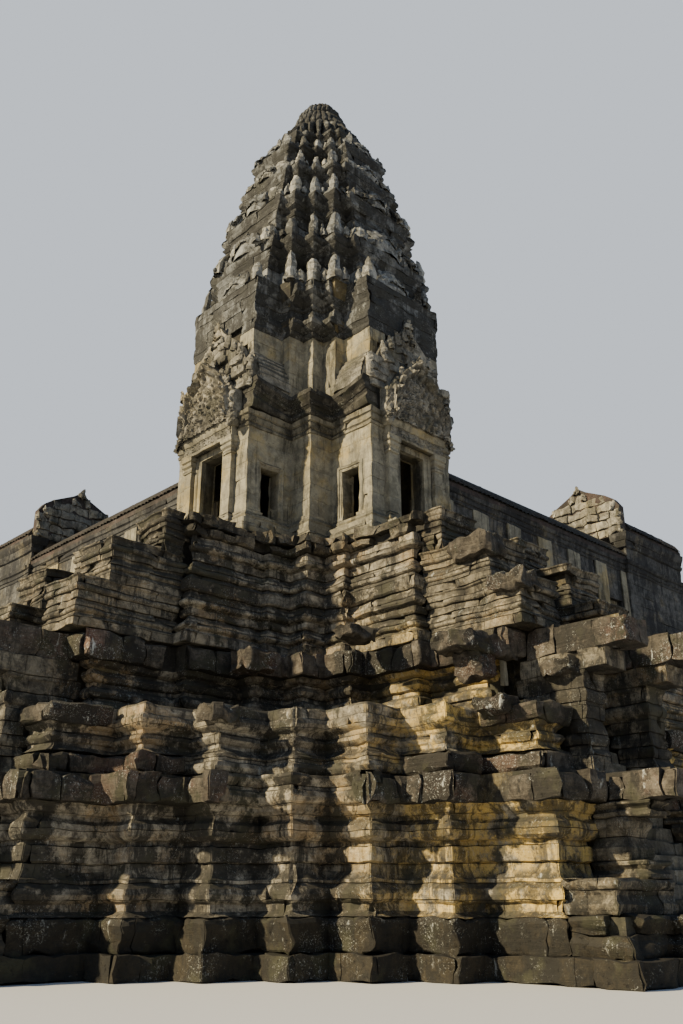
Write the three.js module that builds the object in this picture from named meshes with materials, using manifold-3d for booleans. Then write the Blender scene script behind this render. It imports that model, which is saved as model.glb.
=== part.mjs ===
// Corner tower of a Khmer temple pyramid: a lotus-bud tower over a redented, three-tier
// moulded base, two steep stairs, and the first bays of two galleries with their pavilions.
// Millimetres, +Z up, origin on the tower's axis at ground level.
// South is -Y and west is -X. The object is the same on both sides of its south-west diagonal.
import * as THREE from 'three';
import { mergeVertices } from 'three/addons/utils/BufferGeometryUtils.js';
import Module from 'manifold-3d';

const wasm = await Module();
wasm.setup();

// Heights above the ground
const PLINTH_COURSE = 540;
const CORNICE_FOOT = 3800;
const LOWER_TOP = 4500;
const LEDGE_TOP = 6200;
const MIDDLE_TOP = 8300;
const UPPER_TOP = 12300;
const FLOOR = 13000;
const WALL_TOP = 17100;
const CORNICE_TOP = 18000;

// Plan of the tower: half sizes of its body, of the four arms and of the porches
const BODY = 3010;
const ARM_HALF = 2000;
const ARM_REACH = 4900;
const PORCH_HALF = 1350;
const PORCH_REACH = 5100;
const TOWER_WALL = 600;

// Base plan: half width of each tier's long walls, then the corners of its steps
// beside a stair, as [distance from the stair's axis, distance from the tower's axis]
const LOWER_HALF = 7520;
const LOWER_STEPS = [[6310, 8930], [5100, 10340], [3900, 12450]];
const LEDGE_HALF = 6950;
const LEDGE_STEPS = [[5900, 8450], [4700, 9900], [3400, 11600]];
const MIDDLE_HALF = 5000;
const MIDDLE_STEPS = [[4130, 6040], [3350, 7900], [2850, 10500]];
const UPPER_HALF = 4000;
const UPPER_STEPS = [[3250, 4900], [3000, 7500]];
const WING_START = 7520;
const WING_END = 24000;

// Stairs between their stepped side walls
const STAIR_HALF = 1000;
const STAIR_HEAD = 5800;
const STEP_COUNT = 39;
const STEP_RUN = 220;
const LOWER_FLIGHT_STEPS = 19;
const FLANK_HALF = 2000;
const UPPER_FLANK_HALF = 2600;

// Roof slopes beside the upper arms
const EAVES_HALF = 2250;
const EAVES_TOP = 18150;
const SLOPE_TOP = 19500;

// Openings of the tower
const DOOR_WIDTH = 1200;
const DOOR_HEIGHT = 3000;
const WINDOW_WIDTH = 800;
const WINDOW_SILL = FLOOR + 350;
const WINDOW_HEIGHT = 1800;
const WINDOW_AT = 3900;

// Galleries
const GALLERY_HALF = 2200;
const GALLERY_WALL = 600;
const GALLERY_WALL_TOP = 17200;
const GALLERY_END = 18500;
const GALLERY_BAYS = 6;
const BAY_WINDOW_WIDTH = 1100;
const BAY_WINDOW_HEIGHT = 1500;
const BAY_WINDOW_SILL = FLOOR + 550;
const VAULT_RISE = 2100;
const VAULT_THICKNESS = 450;
const PAVILION_WALL_TOP = 18700;
const PAVILION_RISE = 2200;
const PAVILION_PEDIMENT_TOP = 21800;

const temple = new THREE.Group();

const stoneLooks = {
  base: { color: 0x87795d, roughness: 0.94 },
  step: { color: 0x776b58, roughness: 0.95 },
  wall: { color: 0xa3967a, roughness: 0.92 },
  carved: { color: 0x8d8468, roughness: 0.94 },
  crown: { color: 0x837a66, roughness: 0.95 },
  roof: { color: 0x5c4d42, roughness: 0.96 },
};

function addPiece(name, geometry, look) {
  const material = new THREE.MeshStandardMaterial({ metalness: 0, ...stoneLooks[look] });
  const piece = new THREE.Mesh(geometry, material);
  piece.name = name;
  temple.add(piece);
  return piece;
}

// Right-angled outlines: a list of corners, anticlockwise from above. An edge marked fixed
// meets a neighbour, so mouldings don't move it.
function corner(x, y, fixed = false) {
  return { x, y, fixed };
}

// Moves the free edges of a right-angled outline out by a distance
function spread(outline, distance) {
  return outline.map((point, i) => {
    const before = outline[(i + outline.length - 1) % outline.length];
    const after = outline[(i + 1) % outline.length];
    const moved = { x: point.x, y: point.y };
    for (const [from, to, fixed] of [[before, point, before.fixed], [point, after, point.fixed]]) {
      if (fixed) continue;
      if (from.x === to.x) moved.x += Math.sign(to.y - from.y) * distance;
      else moved.y -= Math.sign(to.x - from.x) * distance;
    }
    return moved;
  });
}

// A closed body through outlines with equal numbers of corners, each at its own height
function loft(rings) {
  const count = rings[0].points.length;
  const positions = rings.flatMap(({ z, points }) => points.flatMap(({ x, y }) => [x, y, z]));
  const faces = [];
  for (let level = 0; level + 1 < rings.length; level += 1) {
    for (let i = 0; i < count; i += 1) {
      const a = level * count + i;
      const b = level * count + ((i + 1) % count);
      faces.push(a, b, b + count, a, b + count, a + count);
    }
  }
  const cap = (level) => THREE.ShapeUtils.triangulateShape(
    rings[level].points.map(({ x, y }) => new THREE.Vector2(x, y)), []);
  for (const [a, b, c] of cap(0)) faces.push(c, b, a);
  const last = (rings.length - 1) * count;
  for (const [a, b, c] of cap(rings.length - 1)) faces.push(last + a, last + b, last + c);
  const geometry = new THREE.BufferGeometry();
  geometry.setAttribute('position', new THREE.Float32BufferAttribute(positions, 3));
  geometry.setIndex(faces);
  return geometry;
}

// A moulded block: its profile lists [height, how far the face stands out]
function moulded(outline, profile) {
  return loft(profile.map(([z, out]) => ({ z, points: spread(outline, out) })));
}

function box(x0, x1, y0, y1, z0, z1) {
  const geometry = new THREE.BoxGeometry(x1 - x0, y1 - y0, z1 - z0);
  geometry.translate((x0 + x1) / 2, (y0 + y1) / 2, (z0 + z1) / 2);
  return geometry;
}

function toSolid(geometry) {
  const bare = geometry.clone();
  bare.deleteAttribute('normal');
  bare.deleteAttribute('uv');
  const merged = mergeVertices(bare, 0.001);
  return new wasm.Manifold(new wasm.Mesh({
    numProp: 3,
    vertProperties: new Float32Array(merged.attributes.position.array),
    triVerts: new Uint32Array(merged.index.array),
  }));
}

function toGeometry(solid) {
  const mesh = solid.getMesh();
  const geometry = new THREE.BufferGeometry();
  geometry.setAttribute('position', new THREE.BufferAttribute(mesh.vertProperties, 3));
  geometry.setIndex(new THREE.BufferAttribute(mesh.triVerts, 1));
  return geometry;
}

function joined(geometries, cuts = []) {
  let solid = toSolid(geometries[0]);
  for (const geometry of geometries.slice(1)) solid = solid.add(toSolid(geometry));
  for (const geometry of cuts) solid = solid.subtract(toSolid(geometry));
  return toGeometry(solid);
}

// Mirrors a body in the plane x = y, so that what stands south also stands west
function acrossDiagonal(geometry) {
  const mirrored = geometry.index ? geometry.clone() : mergeVertices(geometry.clone(), 0.001);
  mirrored.deleteAttribute('normal');
  mirrored.deleteAttribute('uv');
  const position = mirrored.attributes.position;
  for (let i = 0; i < position.count; i += 1) {
    position.setXY(i, position.getY(i), position.getX(i));
  }
  const faces = Array.from(mirrored.index.array);
  for (let i = 0; i < faces.length; i += 3) {
    [faces[i], faces[i + 1]] = [faces[i + 1], faces[i]];
  }
  mirrored.setIndex(faces);
  return mirrored;
}

// Turns an outline about the vertical axis by quarter turns
function quarterTurn(outline, turns) {
  const cos = [1, 0, -1, 0][turns];
  const sin = [0, 1, 0, -1][turns];
  return outline.map(({ x, y, fixed }) => corner(x * cos - y * sin, x * sin + y * cos, fixed));
}

// The base

// One tier's outline at the tower's corner: stepped beside both stairs, notched for them,
// and cut flat where the two wings begin
function cornerOutline(half, steps, notch) {
  const south = [corner(-half, -half)];
  let depth = half;
  for (const [side, reach] of steps) {
    south.push(corner(-side, -depth), corner(-side, -reach));
    depth = reach;
  }
  south.push(corner(-notch, -depth, true), corner(-notch, -STAIR_HEAD, true));
  south.push(corner(notch, -STAIR_HEAD, true), corner(notch, -depth));
  for (const [i, [side, reach]] of [...steps.entries()].reverse()) {
    const inner = i > 0 ? steps[i - 1][1] : half;
    south.push(corner(side, -reach), corner(side, -inner));
  }
  const east = half === WING_START
    ? [corner(WING_START, -half, true), corner(WING_START, half, true)]
    : [corner(WING_START, -half, true), corner(WING_START, half), corner(half, half),
      corner(half, WING_START, true)];
  const northWest = south.slice(1).map(({ x, y }) => ({ x: y, y: x })).reverse();
  const west = northWest.map((point, i) => {
    const next = northWest[i + 1];
    const inNotch = next !== undefined && Math.abs(point.y) <= notch && Math.abs(next.y) <= notch;
    return corner(point.x, point.y, inNotch);
  });
  return [...south, ...east, corner(-half, WING_START), ...west];
}

function cornerStages(names = Object.keys(TIERS)) {
  return names.flatMap((name) => TIERS[name].map(([half, steps, notch, profile]) => (
    moulded(cornerOutline(half, steps, notch),
      profile === LOWER_PROFILE ? BARE_LOWER_PROFILE : profile))));
}

// What is left of the lower cornice beside each stair: all of it on the side away from the
// tower's corner, and on the other side only from the front of the first step on
function corniceBlocks() {
  const [[, firstReach]] = LOWER_STEPS;
  const backs = [firstReach - BROKEN_CORNICE_DEPTH, ...LOWER_STEPS.map(([, reach]) => reach)];
  const broken = LOWER_STEPS.map(([side, reach], i) => box(-side, -FLANK_HALF,
    -reach, -backs[i], CORNICE_FOOT, LOWER_TOP));
  const whole = [[WING_START, LOWER_HALF], ...LOWER_STEPS].map(([side, reach]) => box(
    FLANK_HALF, side, -reach, CORNICE_DEPTH - WING_START, CORNICE_FOOT, LOWER_TOP));
  const south = [...broken, ...whole];
  return [...south, ...south.map((geometry) => acrossDiagonal(geometry))];
}

function wingOutline(half) {
  return [corner(WING_START, -half), corner(WING_END, -half, true),
    corner(WING_END, half), corner(WING_START, half, true)];
}

// The classic profile of a Khmer base: the mouldings mirror each other about a middle band
const LOWER_PROFILE = [
  [0, 0], [PLINTH_COURSE, 0], [PLINTH_COURSE, -250], [1350, -250], [1580, -450],
  [2000, -450], [2250, -650], [2500, -650], [2500, -560], [2950, -560], [2950, -660],
  [3300, -660], [3500, -460], [CORNICE_FOOT, -400], [CORNICE_FOOT, 0], [LOWER_TOP, 0],
];
// The corner has lost this cornice, except at the steps nearest the stairs, where blocks of it
// reach into the base, whole or broken off
const BARE_LOWER_PROFILE = [...LOWER_PROFILE.slice(0, -2),
  [CORNICE_FOOT, -300], [LOWER_TOP, -300]];
const CORNICE_DEPTH = 1000;
const BROKEN_CORNICE_DEPTH = 500;
const LEDGE_PROFILE = [
  [LOWER_TOP, -40], [4800, 0], [5000, -40], [5100, -220], [5450, -220], [5650, -60],
  [5900, -60], [LEDGE_TOP, -140],
];
const MIDDLE_PROFILE = [
  [LEDGE_TOP, -250], [6500, -250], [6700, -420], [7100, -420], [7300, -200],
  [7550, -120], [7550, 0], [MIDDLE_TOP, 0],
];
const UPPER_PROFILE = [
  [MIDDLE_TOP, 350], [8750, 350], [8900, 180], [9400, 220], [9500, 20], [9900, 0],
  [9950, 130], [10300, 130], [10400, -60], [10900, -60], [11050, 60], [11350, 60],
  [11450, -120], [11700, -120], [11700, 150], [UPPER_TOP, 150],
];
const TIERS = {
  lower_tier: [[LOWER_HALF, LOWER_STEPS, FLANK_HALF, LOWER_PROFILE]],
  middle_tier: [[LEDGE_HALF, LEDGE_STEPS, FLANK_HALF, LEDGE_PROFILE],
    [MIDDLE_HALF, MIDDLE_STEPS, FLANK_HALF, MIDDLE_PROFILE]],
  upper_tier: [[UPPER_HALF, UPPER_STEPS, UPPER_FLANK_HALF, UPPER_PROFILE]],
};

function makeBase() {
  for (const [name, stages] of Object.entries(TIERS)) {
    const extra = name === 'lower_tier' ? corniceBlocks() : [];
    addPiece(`${name}_corner`, joined([...cornerStages([name]), ...extra]), 'base');
    const wing = joined(stages.map(([half, , , profile]) => moulded(wingOutline(half), profile)));
    addPiece(`${name}_east_wing`, wing, 'base');
    addPiece(`${name}_north_wing`, acrossDiagonal(wing), 'base');
  }
}

// The stairs

function makeFlight(first, last) {
  const rise = FLOOR / STEP_COUNT;
  const foot = STAIR_HEAD + STEP_COUNT * STEP_RUN;
  const outline = new THREE.Shape();
  outline.moveTo(STAIR_HEAD, first * rise);
  outline.lineTo(foot - first * STEP_RUN, first * rise);
  for (let step = first; step < last; step += 1) {
    outline.lineTo(foot - step * STEP_RUN, (step + 1) * rise);
    outline.lineTo(foot - (step + 1) * STEP_RUN, (step + 1) * rise);
  }
  if (last < STEP_COUNT) outline.lineTo(STAIR_HEAD, last * rise);
  const flight = new THREE.ExtrudeGeometry(outline, { depth: 2 * STAIR_HALF, bevelEnabled: false });
  flight.applyMatrix4(new THREE.Matrix4().set(
    0, 0, -1, STAIR_HALF,
    -1, 0, 0, 0,
    0, 1, 0, 0,
    0, 0, 0, 1));
  return flight;
}

// The courses of a side wall, waisted like the tier beside it and crowned by blocks that
// stand out: [outer face from the stair's axis, front, back, foot, top]
const FLANK_COURSES = [
  [3900, 14000, 11800, 0, PLINTH_COURSE],
  [3650, 13700, 11800, PLINTH_COURSE, 1350],
  [3450, 13350, 11800, 1350, 2100],
  [FLANK_HALF, 14000, STAIR_HEAD, 0, 1350],
  [FLANK_HALF, 13300, STAIR_HEAD, 1350, 2500],
  [FLANK_HALF, 12900, STAIR_HEAD, 2500, 3450],
  [FLANK_HALF, 13500, STAIR_HEAD, 3450, CORNICE_FOOT],
  [FLANK_HALF, 14250, STAIR_HEAD, CORNICE_FOOT, LOWER_TOP],
  [FLANK_HALF, 12150, STAIR_HEAD, LOWER_TOP, 7000],
  [FLANK_HALF, 12750, STAIR_HEAD, 7000, 7500],
  [FLANK_HALF, 13400, STAIR_HEAD, 7500, MIDDLE_TOP],
  [2800, 11000, STAIR_HEAD, MIDDLE_TOP, 9700],
  [2800, 10050, STAIR_HEAD, 9700, 11000],
  [2700, 8350, STAIR_HEAD, 11000, UPPER_TOP],
];

function makeFlank(side) {
  const courses = FLANK_COURSES.map(([outer, front, back, foot, top]) => {
    const [near, far] = side > 0 ? [STAIR_HALF, outer] : [-outer, -STAIR_HALF];
    return box(near, far, -front, -back, foot, top);
  });
  return joined(courses, cornerStages());
}

function makeStairs() {
  const flights = { lower: [0, LOWER_FLIGHT_STEPS], upper: [LOWER_FLIGHT_STEPS, STEP_COUNT] };
  for (const [height, [first, last]] of Object.entries(flights)) {
    const flight = makeFlight(first, last);
    addPiece(`stair_south_${height}_flight`, flight, 'step');
    addPiece(`stair_west_${height}_flight`, acrossDiagonal(flight), 'step');
  }
  for (const [side, where] of [[-1, 'outer'], [1, 'inner']]) {
    const flank = makeFlank(side);
    addPiece(`stair_south_${where}_side_wall`, flank, 'base');
    addPiece(`stair_west_${where}_side_wall`, acrossDiagonal(flank), 'base');
  }
}

// The tower's walls

// An outline with the same stepped corners on all four sides:
// [half width, reach] of each step, from the diagonal towards the side's middle.
// The fronts of some sides can be fixed, and so can the flanks of all four arms.
function crossOutline(steps, fixedSides = [], armsFixed = false) {
  const [[half]] = steps;
  const side = [corner(-half, -half)];
  let depth = half;
  for (const [width, reach] of steps.slice(1)) {
    side.push(corner(-width, -depth), corner(-width, -reach));
    depth = reach;
  }
  const back = side.slice(1).reverse().map(({ x, y }) => corner(-x, y));
  const whole = [...side, ...back];
  const front = side.length - 1;
  return [0, 1, 2, 3].flatMap((turn) => quarterTurn(whole.map((point, i) => corner(
    point.x, point.y, (i === front && fixedSides.includes(turn))
      || (armsFixed && Math.abs(i - front) === 1))), turn));
}

const [SOUTH, EAST, NORTH, WEST] = [0, 1, 2, 3];

function makeTowerPlinth() {
  const outline = crossOutline([[3300, 3300], [2500, 5400], [1800, STAIR_HEAD]], [EAST, NORTH]);
  addPiece('tower_plinth', moulded(outline, [
    [UPPER_TOP, 0], [12500, 0], [12650, -100], [FLOOR, -100]]), 'wall');
}

function windowCut(x0, x1, y0, y1) {
  return box(x0, x1, y0, y1, WINDOW_SILL, WINDOW_SILL + WINDOW_HEIGHT);
}

// A corner pier with the side walls of the two arms that meet there
function makeCornerWall(name, turns) {
  const inner = ARM_HALF - TOWER_WALL;
  const pieces = [
    box(-BODY, -inner, -BODY, -inner, FLOOR, WALL_TOP),
    box(-ARM_HALF, -inner, -ARM_REACH, -BODY, FLOOR, WALL_TOP),
    box(-ARM_REACH, -BODY, -ARM_HALF, -inner, FLOOR, WALL_TOP),
  ];
  const near = WINDOW_AT - WINDOW_WIDTH / 2;
  const far = WINDOW_AT + WINDOW_WIDTH / 2;
  const cuts = [
    windowCut(-ARM_HALF - 100, -inner + 100, -far, -near),
    windowCut(-far, -near, -ARM_HALF - 100, -inner + 100),
  ];
  const wall = joined(pieces, cuts);
  wall.rotateZ(turns * Math.PI / 2);
  addPiece(name, snapped(wall), 'wall');
}

// Whole millimetres, so that walls turned into place still meet their neighbours exactly
function snapped(geometry) {
  const position = geometry.attributes.position;
  for (let i = 0; i < position.count; i += 1) {
    position.setXYZ(i, Math.round(position.getX(i)), Math.round(position.getY(i)),
      Math.round(position.getZ(i)));
  }
  return geometry;
}

// Stands a shape drawn in the XZ plane across the south side, between two depths
function standing(shape, front, back) {
  const geometry = new THREE.ExtrudeGeometry(shape, {
    depth: front - back, bevelEnabled: false, curveSegments: 5 });
  geometry.applyMatrix4(new THREE.Matrix4().set(
    1, 0, 0, 0,
    0, 0, -1, -back,
    0, 1, 0, 0,
    0, 0, 0, 1));
  return geometry;
}

function makePorch() {
  const inner = ARM_HALF - TOWER_WALL;
  const half = DOOR_WIDTH / 2;
  const front = new THREE.Shape([[-inner, FLOOR], [-half, FLOOR], [-half, FLOOR + DOOR_HEIGHT],
    [half, FLOOR + DOOR_HEIGHT], [half, FLOOR], [inner, FLOOR], [inner, WALL_TOP],
    [-inner, WALL_TOP]].map(([x, z]) => new THREE.Vector2(x, z)));
  const wall = standing(front, ARM_REACH, ARM_REACH - 600);
  addPiece('south_door_wall', wall, 'wall');
  addPiece('west_door_wall', acrossDiagonal(wall), 'wall');

  const lintel = moulded([corner(-PORCH_HALF, -PORCH_REACH), corner(PORCH_HALF, -PORCH_REACH),
    corner(PORCH_HALF, -ARM_REACH, true), corner(-PORCH_HALF, -ARM_REACH)],
  [[16180, 0], [16550, 0], [16650, 120], [16830, 180]]);
  const inside = PORCH_HALF - 400;
  const pilasters = [[-PORCH_HALF, -inside], [inside, PORCH_HALF]].map(([near, far]) => moulded(
    [corner(near, -PORCH_REACH), corner(far, -PORCH_REACH),
      corner(far, -ARM_REACH, true), corner(near, -ARM_REACH)],
    [[FLOOR, 60], [FLOOR + 450, 60], [FLOOR + 550, 0], [15800, 0], [16000, 80], [16180, 80]]));
  const frame = joined([lintel, ...pilasters]);
  addPiece('south_porch_frame', frame, 'carved');
  addPiece('west_porch_frame', acrossDiagonal(frame), 'carved');
}

// The bud: stepped tiers that shrink towards the lotus finial, each crowned by a cornice
// and by pointed antefixes that stand on it. A step is [half width, reach].
const BUD_TIERS = [
  { foot: CORNICE_TOP, top: 22700, cornice: 500, antefix: 1300,
    steps: [[2750, 2750], [2250, 3400], [1800, 4700]] },
  { foot: 22700, top: 24800, cornice: 450, antefix: 1200,
    steps: [[2750, 2750], [2200, 3350], [1500, 3950]] },
  { foot: 24800, top: 27200, cornice: 400, antefix: 1000,
    steps: [[2400, 2400], [1950, 3000], [1330, 3500]] },
  { foot: 27200, top: 29150, cornice: 350, antefix: 800,
    steps: [[1950, 1950], [1600, 2550], [1100, 3000]] },
  { foot: 29150, top: 30600, cornice: 300, antefix: 700,
    steps: [[1600, 1600], [1300, 2100], [950, 2750]] },
  { foot: 30600, top: 31900, cornice: 250, antefix: 0,
    steps: [[1150, 1150], [920, 1650], [680, 2100]] },
];
const ANTEFIX_SIDE = 420;

// Roofs and pediments over the arms

// A pointed, double-curved gable outline
function gable(half, foot, eave, top) {
  const shape = new THREE.Shape();
  shape.moveTo(-half, foot);
  shape.lineTo(half, foot);
  shape.lineTo(half, eave);
  shape.bezierCurveTo(half * 0.85, eave + (top - eave) * 0.55,
    half * 0.3, eave + (top - eave) * 0.6, 0, top);
  shape.bezierCurveTo(-half * 0.3, eave + (top - eave) * 0.6,
    -half * 0.85, eave + (top - eave) * 0.55, -half, eave);
  return shape;
}

function onSides(names, geometry, look) {
  const turned = { south: 0, east: 1, north: 2, west: 3 };
  for (const [side, name] of names) {
    const copy = geometry.clone();
    copy.rotateZ(turned[side] * Math.PI / 2);
    addPiece(name, snapped(copy), look);
  }
}

// A pediment whose rim turns up in a serpent's hood at each end: its half width, foot,
// the top of the hoods and its apex
function hoodedGable(half, foot, hood, apex) {
  const side = [[half, foot], [half + 130, foot + 350], [half + 120, hood - 120],
    [half - 60, hood], [half - 260, hood - 80]];
  const shoulder = hood - 150;
  const shape = new THREE.Shape();
  shape.moveTo(-half, foot);
  for (const [x, z] of side) shape.lineTo(x, z);
  shape.bezierCurveTo(half * 0.7, shoulder + (apex - shoulder) * 0.6,
    half * 0.2, shoulder + (apex - shoulder) * 0.6, 0, apex);
  shape.bezierCurveTo(-half * 0.2, shoulder + (apex - shoulder) * 0.6,
    -half * 0.7, shoulder + (apex - shoulder) * 0.6, 260 - half, hood - 80);
  for (const [x, z] of side.slice(1, -1).reverse()) shape.lineTo(-x, z);
  return shape;
}

// The curved roof slopes on both sides of an upper arm, from the eaves up to its walls
function armSlopes(wallHalf) {
  const shape = new THREE.Shape();
  shape.moveTo(-EAVES_HALF, CORNICE_TOP);
  shape.lineTo(EAVES_HALF, CORNICE_TOP);
  shape.lineTo(EAVES_HALF, EAVES_TOP);
  shape.quadraticCurveTo(EAVES_HALF - 150, SLOPE_TOP - 400, wallHalf, SLOPE_TOP);
  shape.lineTo(-wallHalf, SLOPE_TOP);
  shape.quadraticCurveTo(150 - EAVES_HALF, SLOPE_TOP - 400, -EAVES_HALF, EAVES_TOP);
  return shape;
}

function makeArmRoofs() {
  const porchGable = standing(hoodedGable(1430, 16830, 18100, 19700),
    PORCH_REACH + 180, ARM_REACH);
  onSides([['south', 'south_porch_pediment'], ['west', 'west_porch_pediment']],
    porchGable, 'carved');
  const [, [, bodyReach], [upperHalf, upperReach]] = BUD_TIERS[0].steps;
  const armRoof = joined([
    standing(armSlopes(upperHalf), upperReach, bodyReach),
    standing(hoodedGable(1930, CORNICE_TOP, 19300, 21300), ARM_REACH, upperReach),
  ], [box(-upperHalf, upperHalf, -upperReach, -bodyReach + 100,
    CORNICE_TOP - 100, SLOPE_TOP + 100)]);
  onSides(['south', 'east', 'north', 'west'].map((side) => [side, `${side}_arm_roof`]),
    armRoof, 'carved');
}

function makeMainCornice() {
  const outline = crossOutline([[BODY, BODY], [ARM_HALF, ARM_REACH]],
    [SOUTH, EAST, NORTH, WEST]);
  addPiece('main_cornice', moulded(outline, [
    [WALL_TOP, 0], [17300, 100], [17500, 120], [17700, 300], [CORNICE_TOP, 300]]), 'wall');
}

// Two cornices on the first tier, which is the tallest, and one on each of the others
function budProfile({ foot, top, cornice }) {
  const height = top - foot;
  if (foot === CORNICE_TOP) {
    return [[foot, 0], [20600, 0], [20900, 200], [20950, 300], [21200, 300], [21250, 120],
      [21700, 120], [22100, 350], [22400, cornice], [top, cornice]];
  }
  return [[foot, 0], [foot + height * 0.5, 0], [foot + height * 0.62, cornice * 0.35],
    [foot + height * 0.72, cornice * 0.35], [foot + height * 0.86, cornice], [top, cornice]];
}

// A pointed block that stands for one leaf-shaped antefix
function antefix(x, y, foot, height) {
  const ring = (half, z) => ({ z, points: [[-half, -half], [half, -half], [half, half],
    [-half, half]].map(([dx, dy]) => ({ x: x + dx, y: y + dy })) });
  const half = ANTEFIX_SIDE / 2;
  return loft([ring(half, foot), ring(half, foot + height * 0.6), ring(half * 0.2, foot + height)]);
}

// On the corners of a tier's cornice, and over the middle of each arm
function antefixes({ top, cornice, antefix: height, steps }) {
  const inset = ANTEFIX_SIDE / 2 + 60;
  const armCornice = steps === BUD_TIERS[0].steps ? 0 : cornice;
  const places = steps.flatMap(([half, reach], i) => {
    const out = i === 2 ? armCornice : cornice;
    const [across, ahead] = [half + out - inset, reach + out - inset];
    return i === 0 ? [[-across, -ahead]] : [[-across, -ahead], [across, -ahead]];
  });
  const [, armReach] = steps[2];
  places.push([0, -(armReach + armCornice - inset)]);
  return [0, 1, 2, 3].flatMap((turns) => places.map(([x, y]) => {
    const [turned] = quarterTurn([corner(x, y)], turns);
    return antefix(turned.x, turned.y, top, height);
  }));
}

function makeBud() {
  for (const [i, tier] of BUD_TIERS.entries()) {
    const outline = i === 0 ? crossOutline(tier.steps, [SOUTH, EAST, NORTH, WEST], true)
      : crossOutline(tier.steps);
    const body = moulded(outline, budProfile(tier));
    const crown = tier.antefix > 0 ? antefixes(tier) : [];
    addPiece(`tower_tier_${i + 1}`, joined([body, ...crown]), 'crown');
  }
  const profile = [[0, 31900], [1850, 31900], [2080, 32300], [1900, 32900], [1600, 33050],
    [1600, 33400], [1380, 33900], [1120, 34000], [1080, 34400], [800, 34700], [500, 34950],
    [0, 35100]].map(([radius, z]) => new THREE.Vector2(radius, z));
  const finial = new THREE.LatheGeometry(profile, 16);
  finial.rotateX(Math.PI / 2);
  addPiece('lotus_finial', finial, 'crown');
}

// Galleries and pavilions, made eastward and mirrored northward

// A shape drawn across a gallery, run along it
function along(shape, start, end) {
  const geometry = new THREE.ExtrudeGeometry(shape, {
    depth: end - start, bevelEnabled: false, curveSegments: 5 });
  geometry.applyMatrix4(new THREE.Matrix4().set(
    0, 0, 1, start,
    1, 0, 0, 0,
    0, 1, 0, 0,
    0, 0, 0, 1));
  return geometry;
}

function vaultShape(half, springing, rise, thickness) {
  const shape = gable(half, springing, springing + 200, springing + rise);
  const inside = half - GALLERY_WALL;
  const hollow = new THREE.Path();
  hollow.moveTo(-inside, springing);
  hollow.lineTo(inside, springing);
  hollow.bezierCurveTo(inside * 0.8, springing + (rise - thickness) * 0.6,
    inside * 0.3, springing + (rise - thickness) * 0.7, 0, springing + rise - thickness);
  hollow.bezierCurveTo(-inside * 0.3, springing + (rise - thickness) * 0.7,
    -inside * 0.8, springing + (rise - thickness) * 0.6, -inside, springing);
  return { shape, hollow };
}

function vault(start, end, half, springing, rise, thickness) {
  const { shape, hollow } = vaultShape(half, springing, rise, thickness);
  return joined([along(shape, start, end)],
    [along(new THREE.Shape(hollow.getPoints(5)), start - 100, end + 100)]);
}

function galleryWall(side) {
  const inner = GALLERY_HALF - GALLERY_WALL;
  const [y0, y1] = side < 0 ? [-GALLERY_HALF, -inner] : [inner, GALLERY_HALF];
  const [outer0, outer1] = side < 0 ? [y0 - 200, y1] : [y0, y1 + 200];
  const bay = (GALLERY_END - ARM_REACH) / GALLERY_BAYS;
  const windows = Array.from({ length: GALLERY_BAYS }, (_, i) => {
    const start = Math.round(ARM_REACH + (i + 0.5) * bay - BAY_WINDOW_WIDTH / 2);
    return box(start, start + BAY_WINDOW_WIDTH, y0 - 100, y1 + 100,
      BAY_WINDOW_SILL, BAY_WINDOW_SILL + BAY_WINDOW_HEIGHT);
  });
  return joined([box(ARM_REACH, GALLERY_END, y0, y1, FLOOR, GALLERY_WALL_TOP),
    box(GALLERY_END, WING_END, outer0, outer1, FLOOR, PAVILION_WALL_TOP)], windows);
}

function addWingPiece(label, geometry, look) {
  addPiece(`east_${label}`, geometry, look);
  addPiece(`north_${label}`, acrossDiagonal(geometry), look);
}

function makeGalleries() {
  const plinth = [corner(STAIR_HEAD, -2500), corner(WING_END, -2500, true),
    corner(WING_END, 2500), corner(STAIR_HEAD, 2500, true)];
  addWingPiece('gallery_plinth', moulded(plinth, [
    [UPPER_TOP, 0], [12500, 0], [12650, -100], [FLOOR, -100]]), 'wall');
  addWingPiece('gallery_outer_wall', galleryWall(-1), 'wall');
  addWingPiece('gallery_court_wall', galleryWall(1), 'wall');
  addWingPiece('gallery_roof', vault(ARM_REACH, GALLERY_END, GALLERY_HALF + 150,
    GALLERY_WALL_TOP, VAULT_RISE, VAULT_THICKNESS), 'roof');
  addWingPiece('pavilion_roof', joined([
    vault(GALLERY_END + 400, WING_END, GALLERY_HALF + 300, PAVILION_WALL_TOP, PAVILION_RISE,
      VAULT_THICKNESS),
    along(gable(2300, PAVILION_WALL_TOP, 20200, PAVILION_PEDIMENT_TOP),
      GALLERY_END, GALLERY_END + 400),
  ]), 'roof');
}

makeBase();
makeStairs();
makeTowerPlinth();
makeCornerWall('south_west_corner_wall', 0);
makeCornerWall('south_east_corner_wall', 1);
makeCornerWall('north_east_corner_wall', 2);
makeCornerWall('north_west_corner_wall', 3);
makePorch();
makeMainCornice();
makeArmRoofs();
makeBud();
makeGalleries();

export default temple;
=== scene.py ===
# Looks of the temple's corner tower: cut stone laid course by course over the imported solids,
# with carved pediments, antefixes and frames. Metres, +Z up, south is -Y and west is -X.
import dataclasses
import math
from functools import partial

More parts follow.
